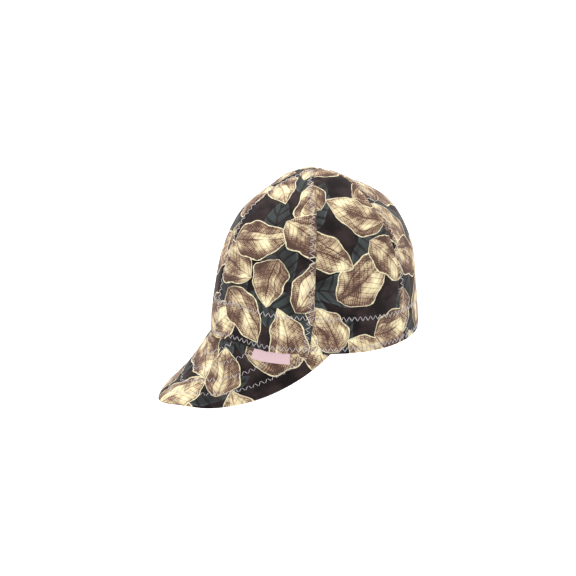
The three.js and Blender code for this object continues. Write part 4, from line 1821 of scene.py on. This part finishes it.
crown_rows = []
for panel, sides in STITCHED_SEAMS.items():
    for side in sides:
        for face in ("outer", "inner"):
            name = f"seam_row_{panel.removeprefix('panel_')}_{side}_{face}"
            crown_rows.append(add_row(name, *seam_row(panel, side, face)))
hem_row = add_row("hem_row", *ring_row(up_to_hem_row, "outer"))
band_row = add_row("band_row", *ring_row(up_to_band_row, "outer"))

# %% Sew the band's inner rows
BAND_ROW_END = 0.498
BAND_ROW_POINTS = 700
BAND_INNER_ROWS = {"band_lower_row": 0.13, "band_upper_row": 0.93}


def band_inner_row(name, part):
    """A row inside the band, at a part of its height."""
    share = np.linspace(-BAND_ROW_END, BAND_ROW_END, BAND_ROW_POINTS)
    points, out = band_line(share, part, BAND_CLOTH)
    return add_row(name, points, -out)


band_inner_rows = [band_inner_row(name, part) for name, part in BAND_INNER_ROWS.items()]

# %% Quilt the peak
QUILT_HEM_ROOM = 0.8 * MM


def quilt_row(ply, face, from_edge):
    """A row on the peak at a distance from its front edge, from seam to seam."""
    grid = sewn[ply][face][len(ALLOWANCE_SHARES):]
    share_grid = np.broadcast_to(shares, along.shape)
    like = peak_outward(share_grid, along) * (1 if face == "top" else -1)
    normals = grid_normals(grid, like)
    wide = front[0] > from_edge + QUILT_HEM_ROOM
    tables = [columns_first(table, wide) for table in (grid, normals, front)]
    return cut_rows(*tables, from_edge)


quilt_rows = []
for number, distance in enumerate(QUILT_ROWS, 1):
    for ply, face in (("upper", "top"), ("under", "foot")):
        line = quilt_row("peak_" + ply, face, distance)
        quilt_rows.append(add_row(f"quilt_row_{ply}_{number}", *line, QUILT_STITCH_LENGTH))

# %% [markdown]
# ## The studio
#
# The cap is seen against white, in soft even light. A floor plane would show an edge
# behind the cap, so the floor is a wide round tray: level in the middle, and rising in
# a smooth curve far behind every camera. Large soft lights stand above and in front.

# %% A pale floor that rises into a backdrop
FLOOR_DROP = 0.27
FLOOR_REACH = 2.4
FLOOR_CURVE = 0.9
FLOOR_RINGS = [0.0, 0.5, 1.2, 1.9]
FLOOR_SIDES = 96
FLOOR_GLOW = 0.36
CURVE_STEPS = 16
WALL_HEIGHT = 3.2


def floor_points():
    """Rings of points across the level floor, up its curve and to the wall's top."""
    bend = np.linspace(0, math.pi / 2, CURVE_STEPS + 1)
    curve_out = FLOOR_REACH + FLOOR_CURVE * np.sin(bend)
    curve_up = FLOOR_CURVE * (1 - np.cos(bend))
    radii = np.concatenate([FLOOR_RINGS, curve_out, [FLOOR_REACH + FLOOR_CURVE]])
    heights = np.concatenate([np.zeros(len(FLOOR_RINGS)), curve_up, [WALL_HEIGHT]]) - FLOOR_DROP
    around = np.linspace(0, 2 * math.pi, FLOOR_SIDES + 1)
    flat = np.stack([np.cos(around), np.sin(around)], axis=-1)
    level = np.broadcast_to(heights[:, None, None], (len(radii), len(around), 1))
    return np.concatenate([radii[:, None, None] * flat[None], level], axis=-1)


def add_floor():
    """The floor with its wall, which is part of the studio and not of the cap."""
    points = floor_points()
    rings, sides = points.shape[:2]
    index = np.arange(rings * sides).reshape(rings, sides)
    corners = [index[:-1, :-1], index[1:, :-1], index[1:, 1:], index[:-1, 1:]]
    faces = np.stack(corners, axis=-1).reshape(-1, 4)
    mesh = bpy.data.meshes.new("floor")
    mesh.from_pydata(points.reshape(-1, 3).tolist(), [], faces.tolist())
    work = bmesh.new()
    work.from_mesh(mesh)
    bmesh.ops.remove_doubles(work, verts=work.verts, dist=SAME_POINT)
    work.to_mesh(mesh)
    work.free()
    mesh.shade_smooth()
    finish = Finish("floor_white")
    floor = add_piece("floor", mesh, finish.close({
        "Base Color": FLOOR_WHITE,
        "Roughness": 0.9,
        "Emission Color": FLOOR_WHITE,
        "Emission Strength": FLOOR_GLOW,
    }))
    return floor


floor = add_floor()
print("floor at", -FLOOR_DROP, "m")

# %% Light the studio
WORLD_LIGHT = 0.18
LIGHTS = [
    {"name": "key", "place": (0.4, -1.4, 1.5), "size": 1.4, "power": 4.5},
    {"name": "top", "place": (-0.45, 0.1, 2.0), "size": 1.3, "power": 56},
]


def add_light(name, place, size, power):
    """A round soft light that points at the cap."""
    lamp = bpy.data.lights.new(name, "AREA")
    lamp.shape = "DISK"
    lamp.size = size
    lamp.energy = power
    light = bpy.data.objects.new(name, lamp)
    light.location = place
    light.rotation_euler = Vector(place).to_track_quat("Z", "Y").to_euler()
    bpy.context.scene.collection.objects.link(light)


for light in LIGHTS:
    add_light(**light)

world = bpy.data.worlds.new("studio")
world.use_nodes = True
background = next(node for node in world.node_tree.nodes if node.type == "BACKGROUND")
background.inputs["Color"].default_value = (1, 1, 1, 1)
background.inputs["Strength"].default_value = WORLD_LIGHT
bpy.context.scene.world = world
bpy.context.scene.view_settings.view_transform = "Standard"
print("lights:", [light["name"] for light in LIGHTS])
